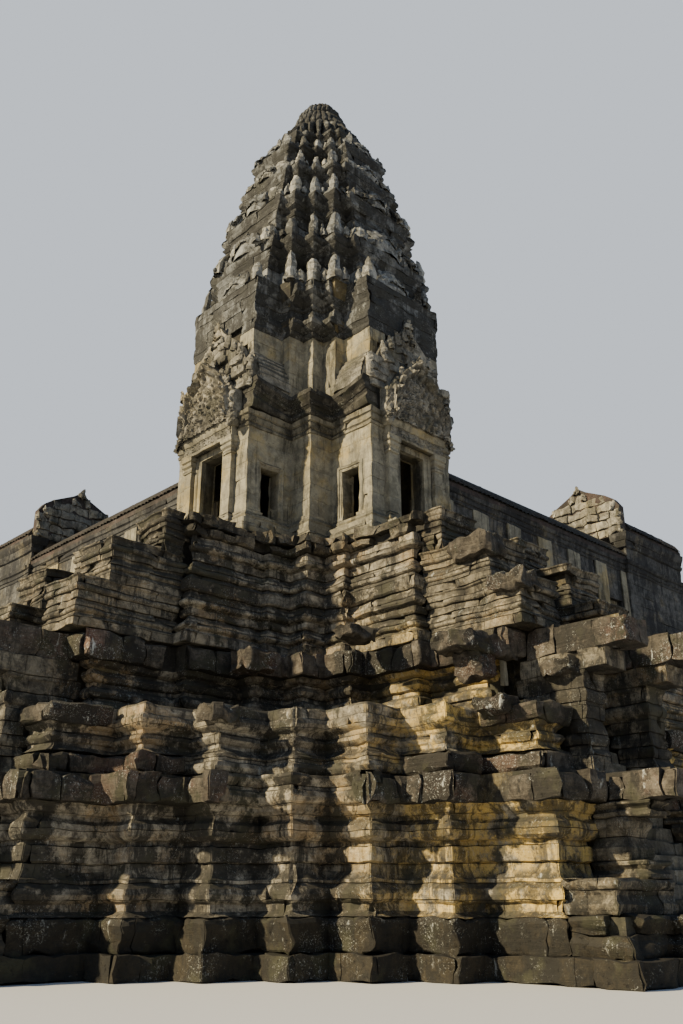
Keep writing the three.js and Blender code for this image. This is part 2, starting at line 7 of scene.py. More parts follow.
import bpy
import numpy as np
from mathutils import Euler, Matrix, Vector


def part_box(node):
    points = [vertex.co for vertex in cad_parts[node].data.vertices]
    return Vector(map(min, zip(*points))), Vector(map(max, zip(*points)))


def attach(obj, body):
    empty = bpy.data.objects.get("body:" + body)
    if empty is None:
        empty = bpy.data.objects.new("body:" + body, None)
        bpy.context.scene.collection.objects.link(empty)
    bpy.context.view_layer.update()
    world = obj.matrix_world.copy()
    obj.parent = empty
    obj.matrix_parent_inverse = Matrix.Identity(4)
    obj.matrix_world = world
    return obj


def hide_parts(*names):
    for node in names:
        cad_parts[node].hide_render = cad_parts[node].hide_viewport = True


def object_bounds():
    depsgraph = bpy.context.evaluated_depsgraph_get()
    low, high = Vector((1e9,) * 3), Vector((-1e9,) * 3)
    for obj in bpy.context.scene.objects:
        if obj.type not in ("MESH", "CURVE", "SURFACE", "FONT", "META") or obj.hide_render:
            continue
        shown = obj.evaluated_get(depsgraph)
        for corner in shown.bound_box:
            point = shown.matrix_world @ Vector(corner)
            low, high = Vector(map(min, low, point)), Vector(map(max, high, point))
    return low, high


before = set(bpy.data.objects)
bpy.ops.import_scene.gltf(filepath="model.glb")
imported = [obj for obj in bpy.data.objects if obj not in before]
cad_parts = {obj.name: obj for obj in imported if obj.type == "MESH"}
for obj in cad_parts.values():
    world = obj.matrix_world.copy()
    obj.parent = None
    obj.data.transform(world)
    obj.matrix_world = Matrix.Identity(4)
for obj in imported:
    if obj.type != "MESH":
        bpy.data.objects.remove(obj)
CAD_BOX = [list(corner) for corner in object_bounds()]

# How stone is laid, and what the drawing of outlines counts as the same place
JOINT = 0.006
EDGE = 0.014
BLOCK_DEPTH = 0.5
CORE_INSET = 0.3
ROW_HEIGHT = 0.2
SHARP_ANGLE = math.radians(24)
SAME_PLACE = 0.002
JUST_OUTSIDE = 0.04

# What is drawn on the south side is also put on the other sides
TURNS = {
    "south": np.eye(3),
    "east": np.array([[0, -1, 0], [1, 0, 0], [0, 0, 1]], float),
    "north": np.array([[-1, 0, 0], [0, -1, 0], [0, 0, 1]], float),
    "west": np.array([[0, 1, 0], [1, 0, 0], [0, 0, 1]], float),
}


# Smooth noise

def noise(points, size, seed):
    """Smooth noise from about -1 to 1 at each point, with bumps of about the given size."""
    rng = np.random.default_rng(seed)
    waves = rng.normal(size=(14, 3))
    turns = rng.uniform(0.6, 1.5, 14) * 2 * math.pi
    waves *= (turns / size / np.linalg.norm(waves, axis=1))[:, None]
    return np.sin(points @ waves.T + rng.uniform(0, 2 * math.pi, 14)).sum(1) / math.sqrt(14)


def weathered(points, settle=0.014, bumps=0.012, pits=0.008):
    """Points moved by slow settling, hand-sized bumps and fine pits."""
    moved = points.copy()
    for axis in range(3):
        moved[:, axis] += settle * noise(points, 3.5, 11 + axis)
        moved[:, axis] += bumps * noise(points, 0.8, 21 + axis)
        moved[:, axis] += pits * noise(points, 0.27, 31 + axis)
    return moved


# Pieces made of quads

class Stones:
    """Gathers the quads of one piece, with a tone for each stone and how much joint grime and
    painted shade each point carries.
    A tone runs from -1 for bleached stone over 0 and 1 to 2 for a black crust."""

    def __init__(self):
        self.points, self.quads, self.tones, self.grime_and_shade_values = [], [], [], []
        self.count = 0
        self.turn = TURNS["south"]

    def add(self, points, quads, tone, grime_and_shade=0.0):
        points = np.asarray(points, float) @ self.turn.T
        quads = np.asarray(quads, int)
        if np.linalg.det(self.turn) < 0:
            quads = quads[:, ::-1]
        self.points.append(points)
        self.quads.append(quads + self.count)
        self.tones.append(np.full(len(points), tone))
        self.grime_and_shade_values.append(np.broadcast_to(grime_and_shade, len(points)))
        self.count += len(points)

    def piece(self, name, material, slot, replaced=(), weather=None, warp=None):
        """The gathered quads as one object that rides on the temple."""
        points = np.concatenate(self.points)
        if warp is not None:
            points = warp(points)
        points = weathered(points, **(weather or {}))
        points = np.clip(points, *CAD_BOX)
        made = mesh_object(name, points, np.concatenate(self.quads), material)
        for label, values in (("tone", self.tones), ("grime_and_shade", self.grime_and_shade_values)):
            layer = made.data.attributes.new(label, "FLOAT", "POINT")
            layer.data.foreach_set("value", np.concatenate(values).astype(np.float32))
        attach(made, "root")
        if replaced:
            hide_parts(*replaced)


def mesh_object(name, points, quads, material):
    mesh = bpy.data.meshes.new(name)
    mesh.vertices.add(len(points))
    mesh.vertices.foreach_set("co", points.astype(np.float32).ravel())
    mesh.loops.add(quads.size)
    mesh.loops.foreach_set("vertex_index", quads.astype(np.int32).ravel())
    mesh.polygons.add(len(quads))
    mesh.polygons.foreach_set("loop_start", np.arange(0, quads.size, 4, dtype=np.int32))
    mesh.update(calc_edges=True)
    mesh.materials.append(material)
    mesh.shade_smooth()
    mesh.set_sharp_from_angle(angle=SHARP_ANGLE)
    return in_scene(name, mesh)


def in_scene(name, data):
    """A new object of the scene that shows a mesh, or holds a camera or lamp."""
    made = bpy.data.objects.new(name, data)
    bpy.context.scene.collection.objects.link(made)
    return made


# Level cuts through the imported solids

def triangles(name):
    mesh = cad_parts[name].data
    mesh.calc_loop_triangles()
    points = np.empty(len(mesh.vertices) * 3)
    mesh.vertices.foreach_get("co", points)
    index = np.empty(len(mesh.loop_triangles) * 3, int)
    mesh.loop_triangles.foreach_get("vertices", index)
    return points.reshape(-1, 3)[index].reshape(-1, 3, 3)


TRIANGLES = {name: triangles(name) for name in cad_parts}
CUTS = {}


def cut_segments(name, z):
    """Where a level plane cuts a node, as directed segments with the solid on their left."""
    faces = TRIANGLES[name]
    above = faces[:, :, 2] > z
    crossing = above.any(1) & ~above.all(1)
    faces, above = faces[crossing], above[crossing]
    lone = np.argmax(above == (above.sum(1) == 1)[:, None], axis=1)
    rows = np.arange(len(faces))
    a, b, c = (faces[rows, (lone + i) % 3] for i in range(3))
    start = a + (b - a) * ((z - a[:, 2]) / (b[:, 2] - a[:, 2]))[:, None]
    end = a + (c - a) * ((z - a[:, 2]) / (c[:, 2] - a[:, 2]))[:, None]
    normal = np.cross(b - a, c - a)
    ahead = np.stack([-normal[:, 1], normal[:, 0]], 1)
    flip = ((end - start)[:, :2] * ahead).sum(1) < 0
    start[flip], end[flip] = end[flip].copy(), start[flip].copy()
    return start[:, :2], end[:, :2]


def outlines(name, z):
    """The outlines of a node at a height, as arrays of corners, anticlockwise round the solid."""
    key = (name, round(z, 3))
    if key in CUTS:
        return CUTS[key]
    starts, ends = cut_segments(name, z)
    long = np.linalg.norm(ends - starts, axis=1) > 1e-4
    starts, ends = starts[long], ends[long]
    left = set(range(len(starts)))
    loops = []
    while left:
        first = left.pop()
        loop, at = [starts[first]], ends[first]
        while left:
            rest = np.array(sorted(left))
            gap = np.linalg.norm(starts[rest] - at, axis=1)
            nearest = int(np.argmin(gap))
            if gap[nearest] > SAME_PLACE:
                break
            loop.append(starts[rest[nearest]])
            at = ends[rest[nearest]]
            left.remove(int(rest[nearest]))
        loops.append(turning_corners(np.array(loop)))
    CUTS[key] = [loop for loop in loops if len(loop) > 2]
    return CUTS[key]


def outward(way):
    """Out of an anticlockwise outline: a quarter turn to the right of its edges."""
    return np.stack([way[..., 1], -way[..., 0]], -1)


def turning_corners(loop):
    """A loop without the corners where it runs straight on."""
    ahead = np.roll(loop, -1, 0) - loop
    behind = loop - np.roll(loop, 1, 0)
    turn = ahead[:, 0] * behind[:, 1] - ahead[:, 1] * behind[:, 0]
    size = np.linalg.norm(ahead, axis=1) * np.linalg.norm(behind, axis=1)
    return loop[np.abs(turn) > 0.01 * size]


def inside(point, loops):
    x, y = point
    crossings = 0
    for loop in loops:
        ahead = np.roll(loop, -1, 0)
        straddle = (loop[:, 1] > y) != (ahead[:, 1] > y)
        part, nxt = loop[straddle], ahead[straddle]
        at = part[:, 0] + (y - part[:, 1]) * (nxt[:, 0] - part[:, 0]) / (nxt[:, 1] - part[:, 1])
        crossings += int((at > x).sum())
    return crossings % 2 == 1


BOXES = {name: (faces.reshape(-1, 3).min(0), faces.reshape(-1, 3).max(0))
         for name, faces in TRIANGLES.items()}


def covered(point, z, own):
    """True if a point lies inside another node's solid."""
    spot = np.array([*point, z])
    for name, (low, high) in BOXES.items():
        if name not in own and (low < spot).all() and (spot < high).all():
            if inside(point, outlines(name, z)):
                return True
    return False


# Masonry

def ring_offsets(loop, hidden):
    """How each corner of a loop moves when its free edges move out by one metre.
    An edge counts as hidden, or held back in part, by a share from 0 to 1."""
    ahead = np.roll(loop, -1, 0) - loop
    ahead /= np.linalg.norm(ahead, axis=1)[:, None]
    normal = outward(ahead)
    before = np.roll(normal, 1, 0)
    free = 1.0 - hidden[:, None]
    before_free = np.roll(free, 1, 0)
    straight = (normal * before).sum(1)[:, None]
    mitre = normal * free + before * before_free
    mitre /= 1 + straight * free * before_free
    return normal, np.where(straight > 0.9, normal * np.maximum(free, before_free), mitre)


def free_runs(hidden):
    """Runs of edges that show, as lists of edge numbers in order."""
    count = len(hidden)
    if not hidden.any():
        return [list(range(count))]
    first = int(np.argmax(hidden)) + 1
    runs, run = [], []
    for i in range(count):
        edge = (first + i) % count
        if hidden[edge]:
            if run:
                runs.append(run)
            run = []
        else:
            run.append(edge)
    return runs + [run] if run else runs


def joints_along(total, corners, length, rng):
    """Where the stones of one course end, clear of the corners."""
    cuts, at = [0.0], rng.uniform(0.3, 1.0) * length
    while at < total - 0.35 * length:
        near = corners[np.argmin(np.abs(corners - at))] if len(corners) else -9.0
        if abs(near - at) < 0.16:
            at = near + (0.2 if at >= near else -0.2)
        if at - cuts[-1] > 0.2:
            cuts.append(at)
        at = max(at, cuts[-1]) + length * rng.uniform(0.65, 1.4)
    return cuts + [total]


def columns_between(start, end, marks, spacing):
    """Places along a run where a stone has a column of points: its ends, arrises and between."""
    inner = [start + EDGE, end - EDGE]
    for mark, convex in marks:
        if start + 2.2 * EDGE < mark < end - 2.2 * EDGE:
            inner += [mark - 2 * EDGE, mark, mark + 2 * EDGE] if convex else [mark]
    inner = sorted(inner)
    places = [start]
    for place in inner + [end]:
        parts = max(1, math.ceil((place - places[-1]) / spacing))
        step = (place - places[-1]) / parts
        places += [places[-1] + step * (i + 1) for i in range(parts)]
    return np.array(places)


GRIDS = {}


def grid_quads(index):
    """The quads between the points of a grid of point numbers."""
    corners = [index[:-1, :-1], index[:-1, 1:], index[1:, 1:], index[1:, :-1]]
    return np.stack(corners, -1).reshape(-1, 4)


def shell_quads(rows, cols):
    """Quads of a stone: its face, and the rim that runs back from the face."""
    if (rows, cols) in GRIDS:
        return GRIDS[rows, cols]
    face = np.arange(rows * cols).reshape(rows, cols)
    border = np.concatenate([face[0, :-1], face[:-1, -1], face[-1, :0:-1], face[:0:-1, 0]])
    back = rows * cols + np.arange(len(border))
    rim = np.stack([border, back, np.roll(back, -1), np.roll(border, -1)], 1)
    GRIDS[rows, cols] = (np.concatenate([grid_quads(face), rim]), border)
    return GRIDS[rows, cols]


class Course:
    """One course of stones along the edges of an outline that show."""

    def __init__(self, loop, hidden, still, heights, outs, depth):
        self.normal, self.mitre = ring_offsets(loop, np.maximum(hidden, still))
        self.hidden, self.depth = hidden, depth
        self.heights = np.asarray(heights, float)
        self.rings = loop[None] + self.mitre[None] * np.asarray(outs, float)[:, None, None]
        ahead = np.roll(loop, -1, 0) - loop
        self.lengths = np.linalg.norm(ahead, axis=1)
        turn = np.roll(ahead, 1, 0)
        self.convex = turn[:, 0] * ahead[:, 1] - turn[:, 1] * ahead[:, 0] > 0

    def run_marks(self, run):
        """Distances along a run of its corners, and whether each stands out."""
        ends = np.cumsum([self.lengths[edge] for edge in run])
        return [(float(end), bool(self.convex[nxt])) for end, nxt in zip(ends[:-1], run[1:])]

    def column(self, run, starts, place):
        """Points of a column on every level, the way out, and the way back into the wall."""
        number = int(np.searchsorted(starts, place + 1e-6, side="right")) - 1
        edge = run[number]
        after = (edge + 1) % len(self.lengths)
        part = (place - starts[number]) / self.lengths[edge]
        points = self.rings[:, edge] * (1 - part) + self.rings[:, after] * part
        out, back = self.normal[edge], self.normal[edge] * self.depth
        if part < 1e-4 and number > 0:
            out = self.mitre[edge]
        for corner, distance in ((edge, part), (after, 1 - part)):
            distance *= self.lengths[edge]
            if self.convex[corner] and distance < self.corner_depth(corner):
                to_corner = self.rings[0, corner] - points[0]
                back = self.mitre[corner] * self.corner_depth(corner) - to_corner
        return points, out, back

    def corner_depth(self, corner):
        before = (corner - 1) % len(self.lengths)
        after = (corner + 1) % len(self.lengths)
        depth = self.depth
        if self.convex[before]:
            depth = min(depth, 0.45 * self.lengths[before])
        if self.convex[after]:
            depth = min(depth, 0.45 * self.lengths[corner])
        return depth

    def lay(self, stones, length, spacing, rng, looks):
        for run in free_runs(self.hidden):
            starts = np.cumsum([0.0] + [self.lengths[edge] for edge in run[:-1]])
            total = starts[-1] + self.lengths[run[-1]]
            marks = self.run_marks(run)
            cuts = joints_along(total, np.array([mark for mark, _ in marks]), length, rng)
            for start, end in zip(cuts, cuts[1:]):
                if end - start > 0.06:
                    self.stone(stones, run, starts, (start, end), marks, spacing, rng, looks)

    def stone(self, stones, run, starts, ends, marks, spacing, rng, looks):
        start, end = ends
        places = columns_between(start, end, marks, spacing)
        middle = self.column(run, starts, (start + end) / 2)[0].mean(0)
        z = self.heights.mean()
        if looks.missing(middle, z, rng):
            return
        gap = looks.joint / 2
        shown = np.clip(places, start + gap, end - gap)
        columns = [self.column(run, starts, place) for place in shown]
        ways_out = np.array([column[1] for column in columns])
        face = np.stack([column[0] for column in columns], 1)
        rows, cols = face.shape[:2]
        foot, top = self.heights[0], self.heights[-1]
        left = 1 - looks.ragged * rng.random()
        heights = foot + (self.heights - foot) * left
        heights[0] += JOINT / 2
        heights[-1] -= JOINT / 2
        pull = np.zeros((rows, cols))
        pull[[0, -1], :] += looks.edge
        pull[:, [0, -1]] += looks.edge * looks.upright_joints
        corners = [mark for mark, convex in marks if convex]
        for i, place in enumerate(shown):
            if any(abs(place - mark) < 1e-3 for mark in corners):
                pull[:, i] += looks.edge * 1.3
        pull -= rng.normal() * looks.uneven
        spots = np.dstack([face, np.broadcast_to(heights[:, None], (rows, cols))])
        eaten = noise(spots.reshape(-1, 3), 1.5, 41).reshape(rows, cols)
        pull += looks.eaten * np.clip(eaten - 0.3, 0, 1.5)
        looks.chip(pull, shown, heights, rng)
        face = face - ways_out[None] * pull[..., None]
        front = np.dstack([face, np.broadcast_to(heights[:, None], (rows, cols))]).reshape(-1, 3)
        quads, border = shell_quads(rows, cols)
        back = np.array([column[2] for column in columns])
        behind = front[border].copy()
        behind[:, :2] -= back[border % cols] - ways_out[border % cols] * pull.flat[border][:, None]
        # Joint grime at the face's edges, and full painted shade on the rim that runs back into
        # the joint
        grime_and_shade = np.zeros((rows, cols))
        grime_and_shade[:, [0, -1]] = looks.upright_joints
        grime_and_shade[[0, -1], :] = looks.level_joints
        points = np.concatenate([front, behind])
        points = looks.tilt(points, rng)
        stones.add(points, quads, rng.uniform(*looks.tone),
                   np.concatenate([grime_and_shade.ravel(), np.ones(len(behind))]))


@dataclasses.dataclass
class Looks:
    """How the stones of one part of the temple are laid and how they have weathered."""
    edge: float = 0.01
    uneven: float = 0.012
    chipped: float = 0.25
    eaten: float = 0.03
    lost: float = 0.0
    gone: tuple = ()
    lean: float = 0.0
    tone: tuple = (0, 1)
    level_joints: float = 0.8
    upright_joints: float = 0.4
    ragged: float = 0.0
    joint: float = JOINT

    def missing(self, middle, z, rng):
        if rng.random() < self.lost:
            return True
        spot = np.array([*middle, z])
        return any((low < spot).all() and (spot < high).all() for low, high in self.gone)

    def chip(self, pull, places, heights, rng):
        """Breaks a corner off some stones."""
        if rng.random() > self.chipped:
            return
        along = places[0] if rng.random() < 0.5 else places[-1]
        up = heights[-1] if rng.random() < 0.7 else heights[0]
        reach = rng.uniform(0.12, 0.34)
        far = np.hypot((places - along)[None, :], (heights - up)[:, None])
        pull += np.clip(1 - far / reach, 0, 1) ** 0.7 * rng.uniform(0.05, 0.16)

    def tilt(self, points, rng):
        if self.lean == 0:
            return points
        centre = points.mean(0)
        turn = np.array(Euler(rng.normal(size=3) * self.lean).to_matrix())
        return (points - centre) @ turn.T + centre


# Profiles: each is a list of (height, how far the face stands out)

def flat(height, out):
    return [(0, out), (height, out)]


def round_moulding(height, out, bulge):
    turns = [math.pi * i / 6 for i in range(7)]
    return [(height * (1 - math.cos(turn)) / 2, out + bulge * math.sin(turn)) for turn in turns]


def cyma(height, start, end):
    """An S-shaped slope from one depth to another."""
    return [(height * part, start + (end - start) * (part * part * (3 - 2 * part)))
            for part in (0, 0.25, 0.5, 0.75, 1)]


def raised(profile, by):
    return [(z + by, out) for z, out in profile]


def stacked(foot, *members):
    """Puts mouldings on top of each other from a height up."""
    profile, at = [], foot
    for member in members:
        profile += raised(member, at)
        at += member[-1][0]
    return profile


def scaled(profile, foot, top):
    """A profile stretched between two heights."""
    low, high = profile[0][0], profile[-1][0]
    return [(foot + (z - low) * (top - foot) / (high - low), out) for z, out in profile]


def temple_base(foot, top, edge, waist, head):
    """The mouldings of a temple base, which mirror each other about a middle band."""
    depth = edge - waist
    return scaled(stacked(
        0,
        flat(0.30, edge), cyma(0.12, edge, edge - 0.45 * depth), flat(0.05, edge - 0.6 * depth),
        round_moulding(0.2, edge - 0.65 * depth, 0.13), flat(0.05, waist + 0.14),
        cyma(0.2, waist + 0.14, waist), flat(0.06, waist + 0.06), flat(0.17, waist + 0.09),
        flat(0.06, waist + 0.02), round_moulding(0.24, waist + 0.05, 0.17),
        flat(0.05, waist + 0.1), cyma(0.2, waist + 0.1, head - 0.08), flat(0.06, head),
    ), foot, top)


def coursed(profile, target, breaks=()):
    """A profile with points added on its tall faces, for level joints and at given heights."""
    points = []
    for (low, out), (high, next_out) in zip(profile, profile[1:]):
        inner = [low] + [z for z in breaks if low < z < high] + [high]
        for start, end in zip(inner, inner[1:]):
            parts = max(1, round((end - start) / target))
            zs = [start + (end - start) * i / parts for i in range(parts)]
            points += [(z, out + (next_out - out) * (z - low) / max(high - low, 1e-9)) for z in zs]
    return points + [profile[-1]]


def course_heights(profile, target, breaks=()):
    """Cuts a profile into courses of about the target height, at its own points."""
    cuts = [0]
    for i in range(1, len(profile) - 1):
        tall = profile[i][0] - profile[cuts[-1]][0]
        step = abs(profile[i + 1][0] - profile[i][0]) < 1e-6
        if (step and tall > 0.45 * target) or tall > 0.99 * target or profile[i][0] in breaks:
            cuts.append(i + 1 if step else i)
    if profile[-1][0] - profile[cuts[-1]][0] < 0.3 * target and len(cuts) > 1:
        cuts.pop()
    return cuts + [len(profile) - 1]


def levels(profile, first, last):
    """The levels of one course: its profile with a row near its foot and its top."""
    points = [profile[i] for i in range(first, last + 1)]
    if last < len(profile) - 1 and abs(profile[last][0] - profile[last - 1][0]) < 1e-6:
        points.pop()
    heights = np.array([point[0] for point in points])
    outs = np.array([point[1] for point in points])
    wanted = [heights[0], heights[0] + EDGE, heights[-1] - EDGE, heights[-1]]
    wanted += [z for z in heights[1:-1] if heights[0] + 1.5 * EDGE < z < heights[-1] - 1.5 * EDGE]
    wanted = sorted(set(round(z, 4) for z in wanted))
    spread = [wanted[0]]
    for z in wanted[1:]:
        parts = max(1, math.ceil((z - spread[-1]) / ROW_HEIGHT))
        step = (z - spread[-1]) / parts
        spread += [spread[-1] + step * (i + 1) for i in range(parts)]
    return np.array(spread), np.interp(spread, heights, outs)


def split_where_covered(loop, closed_off):
    """A loop with corners added where its edges go in or out of what hides them."""
    corners = []
    for start, end in zip(loop, np.roll(loop, -1, 0)):
        corners.append(start)
        length = np.linalg.norm(end - start)
        count = max(2, math.ceil(length / 0.3) + 1)
        way = (end - start) / length
        beyond = outward(way) * JUST_OUTSIDE
        places = np.linspace(0.02, length - 0.02, count)
        states = [closed_off(start + way * place + beyond) for place in places]
        for low, high, before, after in zip(places, places[1:], states, states[1:]):
            if before == after:
                continue
            for _ in range(7):
                middle = (low + high) / 2
                if closed_off(start + way * middle + beyond) == before:
                    low = middle
                else:
                    high = middle
            corners.append(start + way * high)
    return np.array(corners)


def masonry(name, profile, looks, course=0.36, length=0.95, reference=None, spacing=0.3,
            depth=BLOCK_DEPTH, skip=None, still=None, breaks=(), stones=None, seed=0):
    """Lays a node's courses of stone and returns them, ready to become a piece."""
    rng = np.random.default_rng([seed, sum(map(ord, name))])
    stones = Stones() if stones is None else stones
    length = max(length, 2 * spacing)
    profile = coursed(profile, course, breaks)
    cuts = course_heights(profile, course, breaks)
    for first, last in zip(cuts, cuts[1:]):
        heights, outs = levels(profile, first, last)
        middle = (heights[0] + heights[-1]) / 2
        for loop in outlines(name, middle if reference is None else reference):
            def closed_off(spot):
                return covered(spot, middle, (name,)) or (skip is not None and skip(spot))
            loop = split_where_covered(loop, closed_off)
            ahead = np.roll(loop, -1, 0)
            mids = (loop + ahead) / 2
            way = (ahead - loop) / np.linalg.norm(ahead - loop, axis=1)[:, None]
            beyond = mids + outward(way) * JUST_OUTSIDE
            hidden = np.array([closed_off(spot) for spot in beyond])
            held = np.array([0.0 if still is None else still(spot) for spot in beyond])
            if not hidden.all():
                laid = Course(loop, hidden, held, heights, outs, depth)
                laid.lay(stones, length, spacing, rng, looks)
    return stones


def between(profile, foot, top):
    """The rows of a profile from one height to another."""
    low, high = (next(i for i, (z, _) in enumerate(profile) if z >= level - 0.03)
                 for level in (foot, top))
    return profile[low:high + 1]


def core(name, inset=CORE_INSET, sink=0.02, below=math.inf):
    """A node's own shape drawn in a little, which shows where stones are lost and in the joints,
    in a dark stone that paints shade into the joints and gaps.
    Below says that the core ends under a height, with a plain top."""
    faces = TRIANGLES[name]
    faces = faces[faces[:, :, 2].min(1) < below - 0.01]
    points, index = np.unique(faces.reshape(-1, 3).round(4), axis=0, return_inverse=True)
    index = index.reshape(-1, 3)
    normal = np.cross(faces[:, 1] - faces[:, 0], faces[:, 2] - faces[:, 0])
    normal /= np.maximum(np.linalg.norm(normal, axis=1), 1e-12)[:, None]
    high, low = np.zeros_like(points), np.zeros_like(points)
    for side in range(3):
        np.maximum.at(high, index[:, side], normal)
        np.minimum.at(low, index[:, side], normal)
    moved = points - (high + low) * (inset, inset, sink)
    kept = (index != np.roll(index, 1, 1)).all(1)
    corners, sides = moved.tolist(), index[kept].tolist()
    if below < math.inf:
        for loop in outlines(name, BOXES[name][0][2] + 0.3 * (below - BOXES[name][0][2])):
            sides.append(list(range(len(corners), len(corners) + len(loop))))
            corners += [[x, y, below - 0.04] for x, y in loop.tolist()]
    mesh = bpy.data.meshes.new(name + "_core")
    mesh.from_pydata(corners, [], sides)
    mesh.materials.append(SHADED_CORE_STONE)
    made = in_scene(name + "_core", mesh)
    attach(made, "root")


def dress(node, stones, material, slot, inset=CORE_INSET, below=math.inf, **settings):
    """Puts stones in a node's place, with its core behind them."""
    stones.piece(f"{node}_stones", material, slot, [node], **settings)
    core(node, inset, below=below)


# Blocks and ornament, drawn for the south side: outward is -Y and right is +X

def sheet(stones, points, tone=0.5, grime_and_shade=0.0, wrap=False):
    """A grid of points as quads, seen from the side where its columns run to the right."""
    rows, cols = points.shape[:2]
    index = np.arange(rows * cols).reshape(rows, cols)
    if wrap:
        index = np.hstack([index, index[:, :1]])
    stones.add(points.reshape(-1, 3), grid_quads(index), tone, grime_and_shade)


def block(stones, low, high, rng, bevel=0.02, spacing=0.25, rough=0.03, lean=0.0, tone=None):
    """A rough stone block between two corners."""
    low, high = np.array(low, float), np.array(high, float)
    half, centre = (high - low) / 2, (high + low) / 2
    lines = [np.concatenate([[-h], np.linspace(bevel - h, h - bevel,
             max(2, math.ceil(2 * h / spacing) + 1)), [h]]) for h in half]
    turn = np.array(Euler(rng.normal(size=3) * lean).to_matrix())
    tone = rng.uniform(0, 1) if tone is None else tone
    for axis in range(3):
        u, v = (i for i in range(3) if i != axis)
        across, up = np.meshgrid(lines[u], lines[v], indexing="ij")
        for side in (-1, 1):
            points = np.zeros(across.shape + (3,))
            points[..., axis], points[..., u], points[..., v] = side * half[axis], across, up
            inner = np.clip(points, bevel - half, half - bevel)
            away = points - inner
            away /= np.maximum(np.linalg.norm(away, axis=-1, keepdims=True), 1e-9)
            points = (inner + bevel * away) @ turn.T + centre
            spots = points.reshape(-1, 3)
            for i in range(3):
                spots[:, i] += rough * noise(spots, 0.5, 51 + i)
            points = spots.reshape(points.shape)
            if (side > 0) != (axis == 1):
                points = points[::-1]
            sheet(stones, points, tone)


UP = (0, 0, 1)
SOUTH = (0, -1, 0)
LEAF_ROWS = np.array([0, 0.1, 0.25, 0.4, 0.55, 0.7, 0.84, 0.94, 1.0])
LEAF_WIDTHS = np.array([0.9, 0.86, 1.0, 0.9, 0.84, 0.66, 0.5, 0.28, 0.04])
LEAF_BULGE = np.array([1.0, 0.72, 0.95, 0.7, 0.85, 0.55, 0.55, 0.35, 0.1])


def leaf(stones, foot, up, out, width, height, thick, rng, lean=0.0, tone=(-0.7, 0.3)):
    """A pointed leaf standing on its foot: an antefix, or a flame on the rim of a pediment."""
    foot, up, out = (np.array(v, float) for v in (foot, up, out))
    up, out = up / np.linalg.norm(up), out / np.linalg.norm(out)
    side = np.cross(up, out)
    arc = np.concatenate([np.linspace(-math.pi / 2, math.pi / 2, 7), [2.4, -2.4]])
    ripple = 1 + 0.16 * np.cos(3 * arc)
    across = np.sin(arc)
    ahead = np.where(np.cos(arc) > 0, np.cos(arc) * ripple, 0.5 * np.cos(arc))
    worn = 1 - 0.2 * rng.random(len(LEAF_ROWS))
    top = 1.0 if rng.random() > 0.3 else rng.uniform(0.5, 0.85)
    rows = np.minimum(LEAF_ROWS, top)
    points = (foot + up * (height * rows)[:, None, None]
              + side * (width / 2 * LEAF_WIDTHS * worn)[:, None, None] * across[None, :, None]
              + out * (thick * LEAF_BULGE * worn)[:, None, None] * ahead[None, :, None]
              + out * (lean * rows ** 2)[:, None, None])
    points += rng.normal(size=points.shape) * 0.012
    sheet(stones, points, rng.uniform(*tone), wrap=True)


def scrolls(across, up, size):
    """Heights from 0 to 1 of carved foliage: rows of coils, mirrored about the middle."""
    across = np.abs(across)
    row = np.round(up / (0.87 * size))
    shift = np.where(row % 2 == 0, 0.0, size / 2)
    column = np.round((across - shift) / size)
    du, dv = across - column * size - shift, up - row * 0.87 * size
    far, turn = np.hypot(du, dv) / size, np.arctan2(dv, du)
    coil = 0.5 + 0.5 * np.cos(far * 20 - turn * np.where((row + column) % 2 == 0, 1, -1))
    leaves = 0.5 + 0.5 * np.cos(5 * turn + 9 * far)
    return np.clip(1.15 - 1.7 * far, 0, 1) * (0.45 * coil + 0.55 * leaves) + 0.25 * coil


def frame_moulding(stones, middle, half, foot, top, front, profile, sill):
    """A moulded frame round an opening. Its profile lists (way from the opening, way out)."""
    rows = []
    for way, out in profile:
        low = foot - way if sill else foot
        corners = [(-half - way, low), (-half - way, top + way), (half + way, top + way),
                   (half + way, low)]
        if sill:
            corners.append(corners[0])
        corners = np.array(corners)
        parts = np.linspace(0, 1, 7)[:-1, None]
        path = [start + (end - start) * parts for start, end in zip(corners, corners[1:])]
        path = np.concatenate(path + [corners[-1:]])
        rows.append(np.column_stack([middle + path[:, 0], np.full(len(path), -(front + out)),
                                     path[:, 1]]))
    rows = np.array(rows)
    # Painted shade in the opening: rows set back more than 5 cm behind the front grow dark, fully
    # so from 20 cm in
    painted_reveal_shade = np.clip((rows[..., 1] + front - 0.05) / 0.15, 0, 1)
    sheet(stones, rows, grime_and_shade=painted_reveal_shade.ravel())


def full_turn(sides):
    return np.linspace(0, 2 * math.pi, sides + 1)[:-1]


def lathe(middle, radii, heights, turn):
    """Rings of points round an upright line, one for each height."""
    return np.stack([middle[0] + radii * np.cos(turn), middle[1] + radii * np.sin(turn),
                     np.repeat(heights[:, None], len(turn), 1)], -1)


def turned_bar(stones, middle, foot, top, radius, rows=17):
    """A lathe-turned window bar with rings."""
    rings = radius * (0.78 + 0.22 * np.cos(np.linspace(0, 8 * math.pi, rows)))
    points = lathe(middle, rings[:, None], np.linspace(foot, top, rows), full_turn(6))
    sheet(stones, points, wrap=True)


def rim_line(name, place, axis=1):
    """The upper edge of a node in a plane across an axis: how far along it, and how high."""
    points = TRIANGLES[name].reshape(-1, 3)
    points = points[np.abs(points[:, axis] - place) < SAME_PLACE]
    sides = np.unique(points[:, 1 - axis].round(3))
    tops = [points[np.abs(points[:, 1 - axis] - side) < SAME_PLACE, 2].max() for side in sides]
    return sides, np.array(tops)


